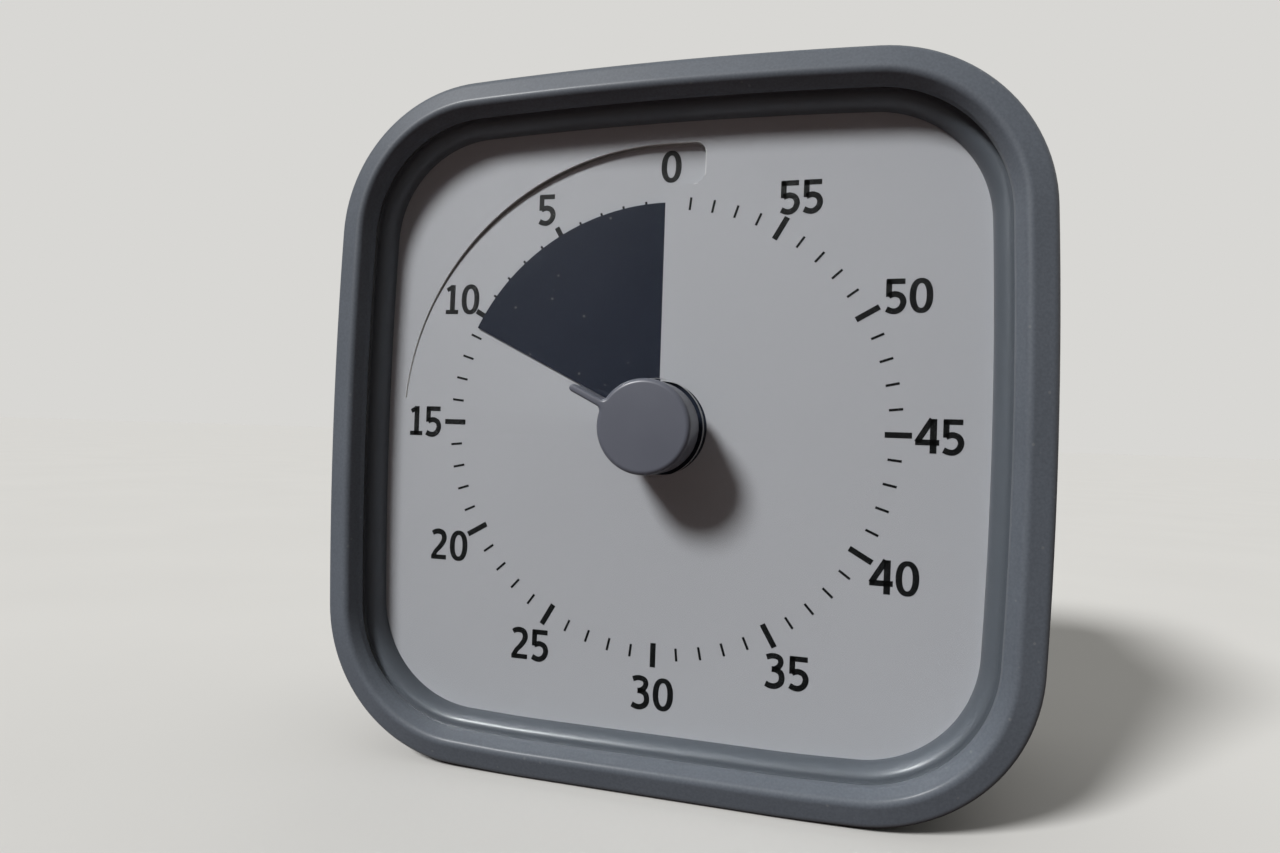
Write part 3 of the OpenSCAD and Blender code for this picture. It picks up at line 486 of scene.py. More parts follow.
def make_finishes(colours):
    """One material for each slot of the record, named for what the real surface is made of. The
    grains are drawn coarser than real ones where those are too fine to show, as the comments say.
    """
    return {
        # Soft and matt, paler at a glancing angle, with dust on it. Its grain is really about
        # 0.1 mm.
        "silicone": moulded(
            "moulded silicone", colours.silicone, roughness=0.56, grain=0.3, depth=0.012,
            mottle=0.05, patch=18.0, specular=0.4, specks=0.15, sheen=0.12, flecks=0.09,
            coat=0.12
        ),
        # A spark-eroded mould breaks its highlights up. Its grain is really about 0.2 mm.
        "case_plastic": moulded(
            "textured ABS", colours.case, roughness=0.5, grain=0.5, depth=0.03, patch=20.0
        ),
        # From a polished mould: smooth and satin, with a soft streak of light along its bend. The
        # mould's polish is too fine to show, here and on the other smooth plastics, and is drawn
        # at 0.4 to 0.6 mm.
        "surround_plastic": moulded(
            "smooth ABS", colours.surround, roughness=0.42, grain=0.6, depth=0.004, mottle=0.03,
            patch=22.0, specular=0.25, coat=0.3
        ),
        "window": clear_acrylic(),
        # Nearly even in tone and without gloss, with whiter cut edges at the slit. The sheet's
        # tooth is really under 0.05 mm.
        "dial_print": moulded(
            "matt printed styrene", colours.dial, roughness=0.55, grain=0.25, depth=0.004,
            mottle=0.012, patch=30.0, specular=0.3, core=linear("#e4e4e2")
        ),
        # Smooth and satin white, as the dial's sheet is inside.
        "tray_plastic": moulded(
            "white styrene", linear("#d2d3d4"), roughness=0.45, grain=0.6, depth=0.006,
            mottle=0.02
        ),
        # Thin, satin and deep in colour, with dust held by static.
        "film": moulded(
            "dyed polyester film", colours.film, roughness=0.4, grain=0.5, depth=0.003,
            mottle=0.05, patch=25.0, specular=0.12, specks=0.22
        ),
        # Satin, with a thin bright line round its rim.
        "knob_plastic": moulded(
            "satin ABS", colours.knob, roughness=0.42, grain=0.4, depth=0.006, mottle=0.03,
            patch=8.0, specular=0.4, coat=0.25
        ),
        # Waxy and creamy white.
        "acetal": moulded(
            "moulded acetal", linear("#e9e6dc"), roughness=0.32, grain=0.6, depth=0.004,
            mottle=0.02
        ),
        # Bright, with fine lines from the lathe. Tool marks are really about 0.1 mm apart, and are
        # drawn coarser, as the lines on all of the metals are.
        "steel": metal("turned steel", linear("#b8babd"), roughness=0.3, line=0.3),
        # Greyer, with lines along the strip.
        "spring_steel": metal(
            "rolled spring steel", linear("#9c9ea2"), roughness=0.35, line=0.3, stretch=6.0
        ),
        # Brightest of the metals, and slightly warm.
        "plated_steel": metal("nickel plate", linear("#c9cacc"), roughness=0.22, line=0.6),
        # Yellow, with fine lines from the lathe.
        "brass": metal("turned brass", linear("#c7a55a"), roughness=0.28, line=0.3),
        # Redder than brass, with lines along the strip.
        "phosphor_bronze": metal(
            "rolled phosphor bronze", linear("#b98555"), roughness=0.33, line=0.3, stretch=6.0
        ),
        # Soft grey, with long lines from the drawing.
        "motor_can": metal(
            "drawn aluminium", linear("#a9abae"), roughness=0.35, line=0.4, stretch=4.0
        ),
        # Ivory and satin.
        "cover_plastic": moulded(
            "ivory ABS", linear("#dcd8cc"), roughness=0.45, grain=0.6, depth=0.006, mottle=0.02
        ),
        # Glossy green, a little uneven where the tracks run under it.
        "laminate": moulded(
            "solder mask", linear("#2f6a45"), roughness=0.3, grain=0.8, depth=0.006,
            mottle=0.06, patch=5.0
        ),
        # Dull black with a fine tooth, which is really under 0.1 mm.
        "component_black": moulded(
            "moulded epoxy", linear("#1b1c1e"), roughness=0.5, grain=0.3, depth=0.01,
            mottle=0.08, patch=3.0
        ),
        # Smooth and yellow, under the sound holes.
        "piezo_brass": metal("piezo brass", linear("#cfae62"), roughness=0.25, line=0.3),
        # Slightly glossy black.
        "switch_black": moulded(
            "black nylon", linear("#17181a"), roughness=0.45, grain=0.4, depth=0.01,
            mottle=0.06, patch=3.0
        ),
        # Dark and glossy with a paler band, and nickel bare at both ends.
        "cell_wrap": dry_cell(linear("#2f3236"), linear("#8b8f94"), linear("#c9cacc")),
        # The leads' insulation: smooth, soft and slightly glossy.
        **{
            "lead_" + hue: moulded(
                hue + " vinyl", linear(paint), roughness=0.38, grain=0.5, depth=0.005,
                mottle=0.05, patch=4.0
            )
            for hue, paint in (("red", "#9c2320"), ("black", "#1d1d1f"), ("blue", "#27468e"))
        },
        # Screen-printed: dense black, with less shine than the sheet it lies on. The screen's
        # grain is really under 0.1 mm.
        "ink": moulded(
            "screen ink", colours.ink, roughness=0.5, grain=0.3, depth=0.002, mottle=0.08,
            patch=4.0, specular=0.15
        ),
    }


FINISHES = {}


def finish(slot):
    """The material of a slot, made on first use."""
    if not FINISHES:
        FINISHES.update(make_finishes(bpy.context.scene.timer_colours))
    return FINISHES[slot]


# ---------------------------------------------------------------- levels and sizes

SLEEVE_FRONT = level(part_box("sleeve")[0].y)
SLEEVE_BACK = level(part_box("sleeve")[1].y)
LENS_FRONT = level(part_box("lens")[0].y)
LENS_BACK = level(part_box("lens")[1].y)
KNOB_FRONT = level(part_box("knob")[0].y)
KNOB_BACK = level(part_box("knob")[1].y)
SURROUND_INSET = HALF_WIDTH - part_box("dial_surround")[1].x / MM

# The sleeve's small edges
REST_GAP = 0.03  # between the sleeve and the window
LIP_THICKNESS = 2.0
LIP_ROUND = 0.3
BEVEL_SHARES = (0.04, 0.3, 0.7, 0.96)  # places of points across the bevel, so that it shades flat

# The frame round the dial
WINDOW_HALF = 39.1  # half the width of its opening
SURROUND_GAP = 0.02  # between the frame and the window
SURROUND_LAND = 0.2  # height of its upright edge at the dial
BEND_START = 0.1  # from the sleeve's edge to the start of the bend

# Holes on the knob's axis
LENS_HOLE = 6.1
DIAL_HOLE = 6.0
COLLAR_RADIUS = 4.5

# The sheet, and the film that screws through it with a gap on each side
SHEET = 0.3
FILM = 0.2
FILM_GAP = 0.08
FILM_RADIUS = 29.0
FILM_HOLD = 0.3  # how far the film reaches into its collar
FILM_ROWS = 361  # a section for each degree of the turn, and one to end it
FLAP_ANGLE = 90.0  # angle by which the flap would be level with the sheet
FILM_PITCH = (SHEET + FILM + 2 * FILM_GAP) * 360 / FLAP_ANGLE

# The slit and the flap beside it
SLIT_OFFSET = 0.27  # the slit passes the axis by this much, on its left
SLIT_LEAN = 2.58  # the same in degrees, at the edge of the dial's hole
FLAP_DROP = 1.0  # depth at the slit
FLAP_EASE = 1.3  # power of the fall, where 1 would be an even slope
FLAP_ROOT = 85.0  # angle at which the flap grows out of the sheet
FLAP_RADIUS = 36.3
FLAP_SPREAD = 0.35
FLAP_CLEAR = 0.1  # between the flap and the dial's hole
KERF = 0.18  # width of the cut round the flap and the tab

# The tab beside the slit, which carries the 0
TAB_RIGHT = 4.6
TAB_LOW = 31.3
TAB_ROUND = 1.3
TAB_FALL = 0.02  # slope towards the right

# The knob
POINTER_DROP = 0.2  # how far the pointer's face lies below the knob's
STEP_START, STEP_LENGTH = 0.6, 1.6  # where it goes down to it, beyond the knob's radius
BACK_BEVEL = 0.1
NECK_INSET = 0.45  # how much narrower the neck is than the knob
SKIRT_INSET = 0.02
RIM_GAP = 0.3  # between the skirt and the window
SKIRT_POINTS = 96

# The gap under the ink, which keeps it clear of the sheet, and its thickness
INK_RISE = 0.008
INK_THICKNESS = 0.012


def line_point(radius, degrees):
    """The point at a radius on the flap's generating line, which passes SLIT_OFFSET to the side of
    the axis, so that at 0 degrees it lies along the slit: the angle is turned on by the arc sine
    of that offset over the radius."""
    return polar(radius, degrees + np.degrees(np.arcsin(SLIT_OFFSET / radius)))


def line_angle(x, y):
    """The angle of the flap's generating line through a point, which is what line_point() undoes:
    the point's own angle less the arc sine."""
    radius = np.hypot(x, y)
    return np.degrees(np.arctan2(-x, y) - np.arcsin(np.clip(SLIT_OFFSET / radius, -1, 1))) % 360


def flap_height(degrees):
    """Height of the flap: lowest at the slit, and nearly level with the sheet where it grows out
    of it. It is the drop times a power of the share of FLAP_ANGLE that is left."""
    return -FLAP_DROP * (1 - degrees / FLAP_ANGLE) ** FLAP_EASE


def flap_edge(degrees):
    """Radius of the flap's free edge, which runs out by FLAP_SPREAD on the way to its root, as a
    parabola that is steepest at the slit."""
    return FLAP_RADIUS + FLAP_SPREAD * (1 - (1 - degrees / FLAP_ROOT) ** 2)


def tab_height(x):
    """Height of the tab beside the slit: the flap's lowest, and falling evenly to the right."""
    return -FLAP_DROP - TAB_FALL * (x + SLIT_OFFSET)


def dial_height(x, y):
    """Height of the dial's printed face: 0, but for the flap and the tab."""
    angle, radius = line_angle(x, y), np.hypot(x, y)
    turned = np.minimum(angle, FLAP_ROOT)
    flap = (angle < FLAP_ROOT) & (radius > DIAL_HOLE) & (radius < flap_edge(turned))
    tab = (x >= -SLIT_OFFSET) & (x < TAB_RIGHT) & (y > TAB_LOW) & (y < FLAP_RADIUS)
    height = np.where(flap, flap_height(turned), 0.0)
    return np.where(tab, tab_height(x), height)


# ---------------------------------------------------------------- sleeve and surround


def sleeve_profile(shape):
    """(inset, z) points round the sleeve's section: up the outside, over the rounded shoulder,
    the flat bevel and the rounded crest, down the slope to the window, back along the case, and
    round the back lip.

    The shoulder and the crest are arcs. The bevel touches both, which gives the shoulder's height,
    and the slope leaves the crest as a tangent, which gives its height at the foot.
    """
    shoulder, edge, foot_inset = shape.shoulder, shape.crest_round, shape.foot_inset
    tilt, fall = np.radians([shape.bevel, shape.inner_slope])
    crest_z = SLEEVE_FRONT - edge
    band_top = crest_z - (shape.crest_inset - shoulder) * np.tan(tilt)
    band_top -= (shoulder - edge) / np.cos(tilt)
    band_bottom = SLEEVE_BACK + shape.back_round
    slope = (foot_inset - shape.crest_inset - edge * np.sin(fall)) * np.tan(fall)
    foot_top = crest_z + edge * np.cos(fall) - slope
    band = np.array([[0.0, z] for z in np.linspace(band_bottom, band_top, 8)[1:-1]])
    outer = arc((shoulder, band_top), shoulder, 180, 90 + shape.bevel, 12)
    crest = arc((shape.crest_inset, crest_z), edge, 90 + shape.bevel, 90 - shape.inner_slope, 12)
    bevel = outer[-1] + (crest[0] - outer[-1]) * np.array(BEVEL_SHARES)[:, None]
    # Two points close together end the slope, so that it shades flat.
    foot = np.array([[foot_inset - 0.06, foot_top + 0.1], [foot_inset, foot_top - 0.03]])
    rest, inside = LENS_FRONT + REST_GAP, SLEEVE_BACK + LIP_THICKNESS
    inner = np.array(
        [
            [foot_inset, rest],
            [shape.sleeve_wall, rest],
            [shape.sleeve_wall, inside],
            [shape.back_lip, inside],
        ]
    )
    lip = arc((shape.back_lip - LIP_ROUND, SLEEVE_BACK + LIP_ROUND), LIP_ROUND, 0, -90, 6)
    back = arc((shape.back_round, band_bottom), shape.back_round, 270, 180, 12)
    return np.concatenate([band, outer, bevel, crest, foot, inner, lip, back])


class TIMER_OT_sleeve(bpy.types.Operator):
    """Soft silicone sleeve with its rounded front lip"""

    bl_idname = "timer.sleeve"
    bl_label = "Sleeve"

    def execute(self, context):
        shape = context.scene.timer_shape
        profile = sleeve_profile(shape)
        piece = ring_piece("sleeve_skin", profile, shape, finish("silicone"), "case")
        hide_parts("sleeve")
        return {"FINISHED"}


class TIMER_OT_surround(bpy.types.Operator):
    """Frame between the window and the dial. Its inner face is a quarter of an ellipse, flat
    under the window and upright at the dial"""

    bl_idname = "timer.surround"
    bl_label = "Surround"

    def execute(self, context):
        shape = context.scene.timer_shape
        top, low = LENS_BACK - SURROUND_GAP, SURROUND_LAND
        start, window = shape.foot_inset + BEND_START, HALF_WIDTH - WINDOW_HALF
        bend = arc((0, 0), 1.0, 90, 0, 14) * [window - start, top - low] + [start, low]
        outside = [[SURROUND_INSET, 0.0], [SURROUND_INSET, top]]
        profile = np.concatenate([outside, bend, [[window, 0.0]]])
        plastic = finish("surround_plastic")
        piece = ring_piece("surround_frame", profile, shape, plastic, "case")
        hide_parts("dial_surround")
        return {"FINISHED"}


# ---------------------------------------------------------------- dial sheet


def tab_loop(gap):
    """Plan of the tab's free sides, counter-clockwise from the slit's low end, widened by gap:
    straight sides, with a quarter of a circle at each corner on the right."""
    right, top, low, bend = TAB_RIGHT + gap, FLAP_RADIUS + gap, TAB_LOW - gap, TAB_ROUND + gap
    return np.concatenate(
        [
            [[-SLIT_OFFSET, low]],
            arc((right - bend, low + bend), bend, -90, 0, 10),
            arc((right - bend, top - bend), bend, 0, 90, 10),
        ]
    )


def plate(loops, height):
    """A sheet between closed loops in plan, the outer one clockwise and the holes the other way.
    Its top follows height(x, y) and its bottom lies SHEET below. The plan is cut into triangles,
    each turned to run counter-clockwise, and walls join the top and the bottom along the loops."""
    flat = np.concatenate(loops)
    count = len(flat)
    top = np.column_stack([flat, height(*flat.T)])
    plan = [[Vector((x, y, 0.0)) for x, y in loop] for loop in loops]
    triangles = np.array(tessellate_polygon(plan))
    one, two = flat[triangles[:, 1:]].swapaxes(0, 1) - flat[triangles[:, 0]]
    upward = one[:, 0] * two[:, 1] > one[:, 1] * two[:, 0]
    triangles = np.where(upward[:, None], triangles, triangles[:, [0, 2, 1]])
    faces = triangles.tolist() + (triangles[:, ::-1] + count).tolist()
    start = 0
    for loop in loops:
        here = start + np.arange(len(loop))
        there = np.roll(here, -1)
        faces += np.stack([here, there, there + count, here + count], -1).tolist()
        start += len(loop)
    return np.concatenate([top, top - [0, 0, SHEET]]), faces


def flap_mesh():
    """The flap: a section along the generating line, turned about the axis and lowered as
    flap_height() says. The section is a strip SHEET thick from the dial's hole to flap_edge()."""
    angles = np.linspace(0, FLAP_ROOT, 171)[:, None]
    share = np.linspace(0, 1, 9)
    around = np.concatenate([share, share[::-1]])
    sides = np.repeat([0.0, -SHEET], len(share))
    root = DIAL_HOLE + FLAP_CLEAR
    flat = line_point(root + around[None, :] * (flap_edge(angles) - root), angles)
    height = flap_height(angles) + sides[None, :]
    points = np.concatenate([flat, height[..., None]], -1)
    return points.reshape(-1, 3), tube_faces(*height.shape)


class TIMER_OT_dial(bpy.types.Operator):
    """Printed sheet with the slit, and the flap that is pressed down beside it for the film"""

    bl_idname = "timer.dial"
    bl_label = "Dial sheet"

    def execute(self, context):
        shape = context.scene.timer_shape
        # The sheet is flat. Its hole runs out along the slit, round the tab and the flap, and home.
        cut = np.linspace(1, FLAP_ROOT, 85)
        hole = np.concatenate(
            [
                [line_point(DIAL_HOLE, 0)],
                tab_loop(KERF),
                polar(flap_edge(cut) + KERF, cut),
                polar(DIAL_HOLE, np.linspace(FLAP_ROOT + SLIT_LEAN, 360, 92)),
            ]
        )
        sheet = plate([outline(shape, SURROUND_INSET), hole], lambda x, y: 0 * x)
        tab_plan = np.concatenate([tab_loop(0.0), [[-SLIT_OFFSET, FLAP_RADIUS]]])[::-1]
        tab = plate([tab_plan], lambda x, y: tab_height(x))
        points, faces = [], []
        for part_points, part_faces in (sheet, tab, flap_mesh()):
            offset = sum(map(len, points))
            points.append(part_points)
            faces += [[i + offset for i in face] for face in part_faces]
        points, styrene = np.concatenate(points), finish("dial_print")
        piece = make_piece("dial_sheet", points, faces, styrene, "case")
        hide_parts("dial_face")
        return {"FINISHED"}


# ---------------------------------------------------------------- film


class TIMER_OT_film(bpy.types.Operator):
    """Coloured film disk: one turn of a shallow screw, threaded through the dial's slit"""

    bl_idname = "timer.film"
    bl_label = "Film disk"

    def execute(self, context):
        # Height is proportional to the angle, and each section is a thin rectangle along a radius.
        angles = np.linspace(SET_ANGLE - 360, SET_ANGLE, FILM_ROWS)
        middle = -(SHEET + FILM_GAP + FILM / 2) + FILM_PITCH * angles / 360
        inner = COLLAR_RADIUS - FILM_HOLD
        radii = np.array([inner, FILM_RADIUS, FILM_RADIUS, inner])
        sides = np.array([-0.5, -0.5, 0.5, 0.5]) * FILM
        flat = polar(radii[None, :], angles[:, None])
        height = middle[:, None] + sides[None, :]
        points = np.concatenate([flat, height[..., None]], -1)
        faces = tube_faces(FILM_ROWS, len(radii), turned_over=True)
        piece = make_piece("film_disk", points, faces, finish("film"), "film")
        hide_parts("timer_disk")
        return {"FINISHED"}


# ---------------------------------------------------------------- knob


def knob_plan(shape, inset, blade_inset):
    """Plan of the knob and its pointer along +Y, the knob moved in by inset and the pointer by
    blade_inset: a circle, two fillets tangent to it and to the pointer's sides, and a round tip.
    Each fillet's centre is a fillet's radius from the pointer's side and from the circle."""
    radius = shape.knob_radius - inset
    half = shape.pointer_width / 2 - blade_inset
    fillet = shape.pointer_fillet + blade_inset
    reach = shape.pointer_reach - blade_inset
    height = np.sqrt((radius + fillet) ** 2 - (half + fillet) ** 2)
    lean = np.degrees(np.arctan2(height, half + fillet))
    right = arc((half + fillet, height), fillet, 180 + lean, 180, 10)
    tip = arc((0, reach - half), half, 0, 180, 13)
    left = right[::-1] * [-1, 1]
    body = arc((0, 0), radius, 180 - lean, 360 + lean, 96)
    return np.concatenate([right, tip, left, body[1:-1]])


def cap_rings(shape, low):
    """The knob and its pointer as a stack of plans, from the level low up to the face. Both front
    edges are quarters of a circle: the inset grows as one less the cosine, and the level as the
    sine. Beyond the knob, the face goes down by POINTER_DROP along a smooth step."""
    quarter = np.radians(np.linspace(0, 90, 10))
    rise, run = np.sin(quarter), 1 - np.cos(quarter)
    edge = shape.knob_edge
    insets = np.concatenate([[BACK_BEVEL, 0.0], edge * run])
    blade_insets = np.concatenate([[BACK_BEVEL, 0.0], shape.pointer_edge * run])
    levels = np.concatenate([[low, low + BACK_BEVEL], KNOB_FRONT - edge + edge * rise])
    turn = np.radians(SET_ANGLE)
    spin = np.array([[np.cos(turn), np.sin(turn)], [-np.sin(turn), np.cos(turn)]])
    rings = []
    for inset, blade_inset, z in zip(insets, blade_insets, levels):
        plan = knob_plan(shape, inset, blade_inset)
        beyond = np.hypot(*plan.T) - shape.knob_radius
        out = np.clip((beyond - STEP_START) / STEP_LENGTH, 0, 1)
        heights = z - POINTER_DROP * out * out * (3 - 2 * out) * (z > low + BACK_BEVEL)
        rings.append(np.column_stack([plan @ spin, heights]))
    return np.stack(rings)


def skirt_rings(shape, low):
    """The circles of the neck, which goes through the window's hole, and of the skirt, which ends
    just above the window and reaches up into the knob."""
    rim = LENS_FRONT + RIM_GAP
    # Each circle is (inset from the knob's radius, level). The ends of both have a small bevel.
    turned = (
        (NECK_INSET + 0.05, KNOB_BACK),
        (NECK_INSET, KNOB_BACK + 0.2),
        (NECK_INSET, rim),
        (SKIRT_INSET + 0.1, rim),
        (SKIRT_INSET, rim + 0.1),
        (SKIRT_INSET, low + 0.3),
    )
    ring = arc((0, 0), 1.0, 0, 360, SKIRT_POINTS + 1)[:-1]
    return np.stack(
        [
            np.column_stack([ring * (shape.knob_radius - inset), np.full(SKIRT_POINTS, z)])
            for inset, z in turned
        ]
    )


class TIMER_OT_knob(bpy.types.Operator):
    """Flat-faced knob with a thin pointer, and the skirt that passes through the window"""

    bl_idname = "timer.knob"
    bl_label = "Knob"

    def execute(self, context):
        shape = context.scene.timer_shape
        low = KNOB_FRONT - POINTER_DROP - shape.pointer_depth
        points, faces = [], []
        for rings in (cap_rings(shape, low), skirt_rings(shape, low)):
            faces += tube_faces(*rings.shape[:2], offset=sum(map(len, points)))
            points.append(rings.reshape(-1, 3))
        points, plastic = np.concatenate(points), finish("knob_plastic")
        piece = make_piece("knob_cap", points, faces, plastic, "knob")
        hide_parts("knob")
        return {"FINISHED"}


# ---------------------------------------------------------------- print

MITRE_LIMIT = 0.35  # least cosine of half a turn, which keeps a sharp corner's mitre short
CURVE_STEPS = 8  # points from one point of a curve to the next
FULLNESS = 0.88  # power of the 0's sine and cosine: 1 is an ellipse, and less has squarer shoulders
BOLD_EVERY = 5  # minutes


def stroke(points, widths):
    """The two sides of a pen stroke: each point of a line moved half the width to its left and to
    its right. Where the line turns, they move along the mitre, and further by one over the
    cosine of half the turn."""
    p = np.asarray(points, float)
    w = np.broadcast_to(np.asarray(widths, float), len(p))
    closed = np.allclose(p[0], p[-1])
    step = np.diff(p, axis=0)
    step /= np.linalg.norm(step, axis=1, keepdims=True)
    before = np.vstack([step[-1:] if closed else step[:1], step])
    after = np.vstack([step, step[:1] if closed else step[-1:]])
    along = before + after
    along /= np.linalg.norm(along, axis=1, keepdims=True)
    normal = np.stack([-along[:, 1], along[:, 0]], -1)
    mitre = np.clip((along * after).sum(1), MITRE_LIMIT, 1)
    side = normal * (w / 2 / mitre)[:, None]
    return p + side, p - side


def strip_mesh(strips):
    """Closed strips laid on the dial. Each is a slab between the two sides of a stroke. Its
    underside is INK_RISE above the dial's own height, and its top INK_THICKNESS higher."""
    points, faces, offset = [], [], 0
    for left, right in strips:
        rows = len(left)
        flat = np.stack([left, right, right, left], 1)
        base = dial_height(flat[..., 0], flat[..., 1])
        rise = INK_RISE + INK_THICKNESS * np.array([1, 1, 0, 0])
        points.append(np.concatenate([flat, (base + rise)[..., None]], -1).reshape(-1, 3))
        faces += tube_faces(rows, 4, offset, turned_over=True)
        offset += 4 * rows
    return np.concatenate(points), faces


class TIMER_OT_ticks(bpy.types.Operator):
    """One printed tick for each minute but 0, with a bold one at every fifth"""

    bl_idname = "timer.ticks"
    bl_label = "Ticks"

    def execute(self, context):
        ink = context.scene.timer_print
        strips = []
        for minute in range(1, 60):
            bold = minute % BOLD_EVERY == 0
            outer = ink.bold_radius if bold else ink.tick_radius
            length = ink.bold_length if bold else ink.tick_length
            width = ink.bold_width if bold else ink.tick_width
            line = polar(np.linspace(outer - length, outer, 5), DEGREES_A_MINUTE * minute)
            strips.append(stroke(line, width))
        points, faces = strip_mesh(strips)
        make_piece("minute_ticks", points, faces, finish("ink"), "case")
        return {"FINISHED"}


def smooth_line(points):
    """A curve through points: Catmull-Rom, a cubic between each two, which passes each point along
    its neighbours' chord."""
    p = np.asarray(points, float)
    p = np.vstack([2 * p[0] - p[1], p, 2 * p[-1] - p[-2]])
    t = np.linspace(0, 1, CURVE_STEPS, endpoint=False)[:, None]
    a, b, c, d = (p[i : len(p) - 3 + i, None] for i in range(4))
    bend, twist = 2 * a - 5 * b + 4 * c - d, 3 * b - a - 3 * c + d
    curves = 0.5 * (2 * b + (c - a) * t + bend * t**2 + twist * t**3)
    return np.vstack([curves.reshape(-1, 2), p[-2:-1]])


def figure_strokes(figure, tall, side, flat):
    """The pen strokes of one figure as (points, widths), in millimetres about the middle of its
    height. tall is its height, and side and flat are the widths of upright and level strokes."""
    top, low = tall / 2, -tall / 2
    mid = (side + flat) / 2
    if figure == "0":
        t = np.linspace(0, 2 * np.pi, 65)
        c, s = np.cos(t), np.sin(t)
        wide, high = 1.32 - side / 2, top + 0.05 - flat / 2
        # A superellipse: an ellipse whose cosine and sine are raised to a power.
        across = wide * np.sign(c) * np.abs(c) ** FULLNESS
        line = np.stack([across, high * np.sign(s) * np.abs(s) ** FULLNESS], -1)
        line[-1] = line[0]
        return [(line, flat + (side - flat) * np.abs(c) ** 1.2)]
    if figure == "1":
        thin = flat * 0.95
        return [
            ([[0.08, top], [0.08, low + 0.1]], side),
            ([[-0.9, low + flat / 2], [1.0, low + flat / 2]], thin),
            (smooth_line([[0.1, top - 0.3], [-0.25, top - 0.42], [-0.78, top - 0.72]]), thin),
        ]
    if figure == "2":
        bowl = smooth_line(
            [
                [-1.0, top - 0.52], [-0.62, top - 0.3], [-0.1, top - 0.22], [0.5, top - 0.42],
                [0.76, top - 1.0], [0.6, top - 1.65], [0.1, top - 2.35], [-0.45, top - 2.95],
                [-0.83, low + 0.42],
            ]
        )
        # The bowl swells from a level stroke's width to an upright one's, and thins out again.
        swell = np.sin(np.pi * np.clip(np.linspace(0, 1.25, len(bowl)), 0, 1)) ** 0.7
        return [
            (bowl, flat + (side - flat) * swell),
            ([[-1.15, low + flat / 2], [1.12, low + flat / 2]], flat),
        ]
    if figure == "3":
        upper = smooth_line(
            [[-1.0, top - 0.42], [-0.5, top - 0.24], [0.02, top - 0.22], [0.55, top - 0.42],
             [0.72, top - 0.92], [0.5, top - 1.45], [0.0, top - 1.78], [-0.35, top - 1.82]]
        )
        lower = smooth_line(
            [[-0.35, top - 1.82], [0.2, top - 1.88], [0.72, top - 2.22], [0.88, low + 1.15],
             [0.68, low + 0.55], [0.1, low + 0.2], [-0.5, low + 0.2], [-1.08, low + 0.42]]
        )
        return [(upper, mid * 0.98), (lower, mid * 1.04)]
    if figure == "4":
        return [
            ([[0.68, top], [0.68, low]], side * 1.03),
            ([[-1.32, low + 1.28], [1.35, low + 1.28]], flat * 1.1),
            ([[0.52, top - 0.02], [-1.12, low + 1.28]], flat * 1.1),
        ]
    bowl = smooth_line(
        [[-0.82, -0.02], [-0.45, 0.14], [0.0, 0.2], [0.58, -0.06], [0.84, -0.7],
         [0.62, low + 0.62], [0.08, low + 0.22], [-0.5, low + 0.22], [-1.06, low + 0.46]]
    )
    return [
        ([[-1.1, top - flat / 2], [1.02, top - flat / 2]], flat * 1.05),
        ([[-0.8, top - 0.1], [-0.8, -0.12]], side * 0.92),
        (bowl, mid * 1.04),
    ]


# Half the room that each figure takes in a number, and the middle of each number on the dial
FIGURE_HALF = {"0": 1.46, "1": 1.3, "2": 1.5, "3": 1.52, "4": 1.5, "5": 1.38}
FIGURE_AT = {
    0: (0.14, 33.79),
    5: (-16.68, 28.83),
    10: (-28.77, 16.84),
    15: (-33.55, 0.0),
    20: (-29.2, -16.9),
    25: (-16.8, -29.2),
    30: (0.0, -33.75),
    35: (16.8, -29.2),
    40: (28.9, -16.8),
    45: (33.55, 0.0),
    50: (29.6, 16.5),
    55: (16.84, 28.85),
}


class TIMER_OT_cut_line(bpy.types.Operator):
    """Painted highlight: a pale strip on the sheet along the tab's right and lower sides, which stands in for the
    key light caught by the sheet's cut edge there
    """

    bl_idname = "timer.cut_line"
    bl_label = "Painted cut highlight"

    def execute(self, context):
        ink = context.scene.timer_print
        # The loop starts at the slit and runs on past the top corner, and both ends are left bare, so the painted
        # highlight lies only along the sides that face the key light.
        line = tab_loop(KERF + ink.cut_width / 2)[1:-6]
        points, faces = strip_mesh([stroke(line, ink.cut_width)])
        make_piece("tab_painted_cut_highlight", points, faces, finish("tray_plastic"), "case")
        return {"FINISHED"}


class TIMER_OT_figures(bpy.types.Operator):
    """Printed figures at every fifth minute, upright and counter-clockwise"""

    bl_idname = "timer.figures"
    bl_label = "Figures"

    def execute(self, context):
        ink = context.scene.timer_print
        pen = ink.figure_height, ink.side_stroke, ink.flat_stroke
        strips = []
        for minute, place in FIGURE_AT.items():
            text = str(minute)
            gap = 0.0 if len(text) == 1 else FIGURE_HALF[text[0]] + FIGURE_HALF[text[1]]
            for figure, x in zip(text, (-gap / 2, gap / 2)):
                shift = np.array(place) + [x, 0]
                for line, width in figure_strokes(figure, *pen):
                    left, right = stroke(line, width)
                    strips.append((left + shift, right + shift))
        points, faces = strip_mesh(strips)
        make_piece("dial_figures", points, faces, finish("ink"), "case")
        return {"FINISHED"}


# ---------------------------------------------------------------- finishes of the other pieces


class TIMER_OT_finishes(bpy.types.Operator):
    """Finishes of the pieces whose shapes come from the frame"""

    bl_idname = "timer.finishes"
    bl_label = "Finishes"

    def execute(self, context):
        for part in frame["record"]["subparts"]:
            piece = frame["nodes"][part["node"]]
            piece.data.materials.clear()
            piece.data.materials.append(finish(part["material_slot"]))
        return {"FINISHED"}


# ---------------------------------------------------------------- stage

FLOOR_REACH = 12.0  # metres from the middle of the floor to each side

# The key light's way in the part's frame, its strength, and its width in degrees
KEY_TOWARD = (-0.63, -1.0, 0.93)
KEY_STRENGTH = 3.7
KEY_WIDTH = 13.0

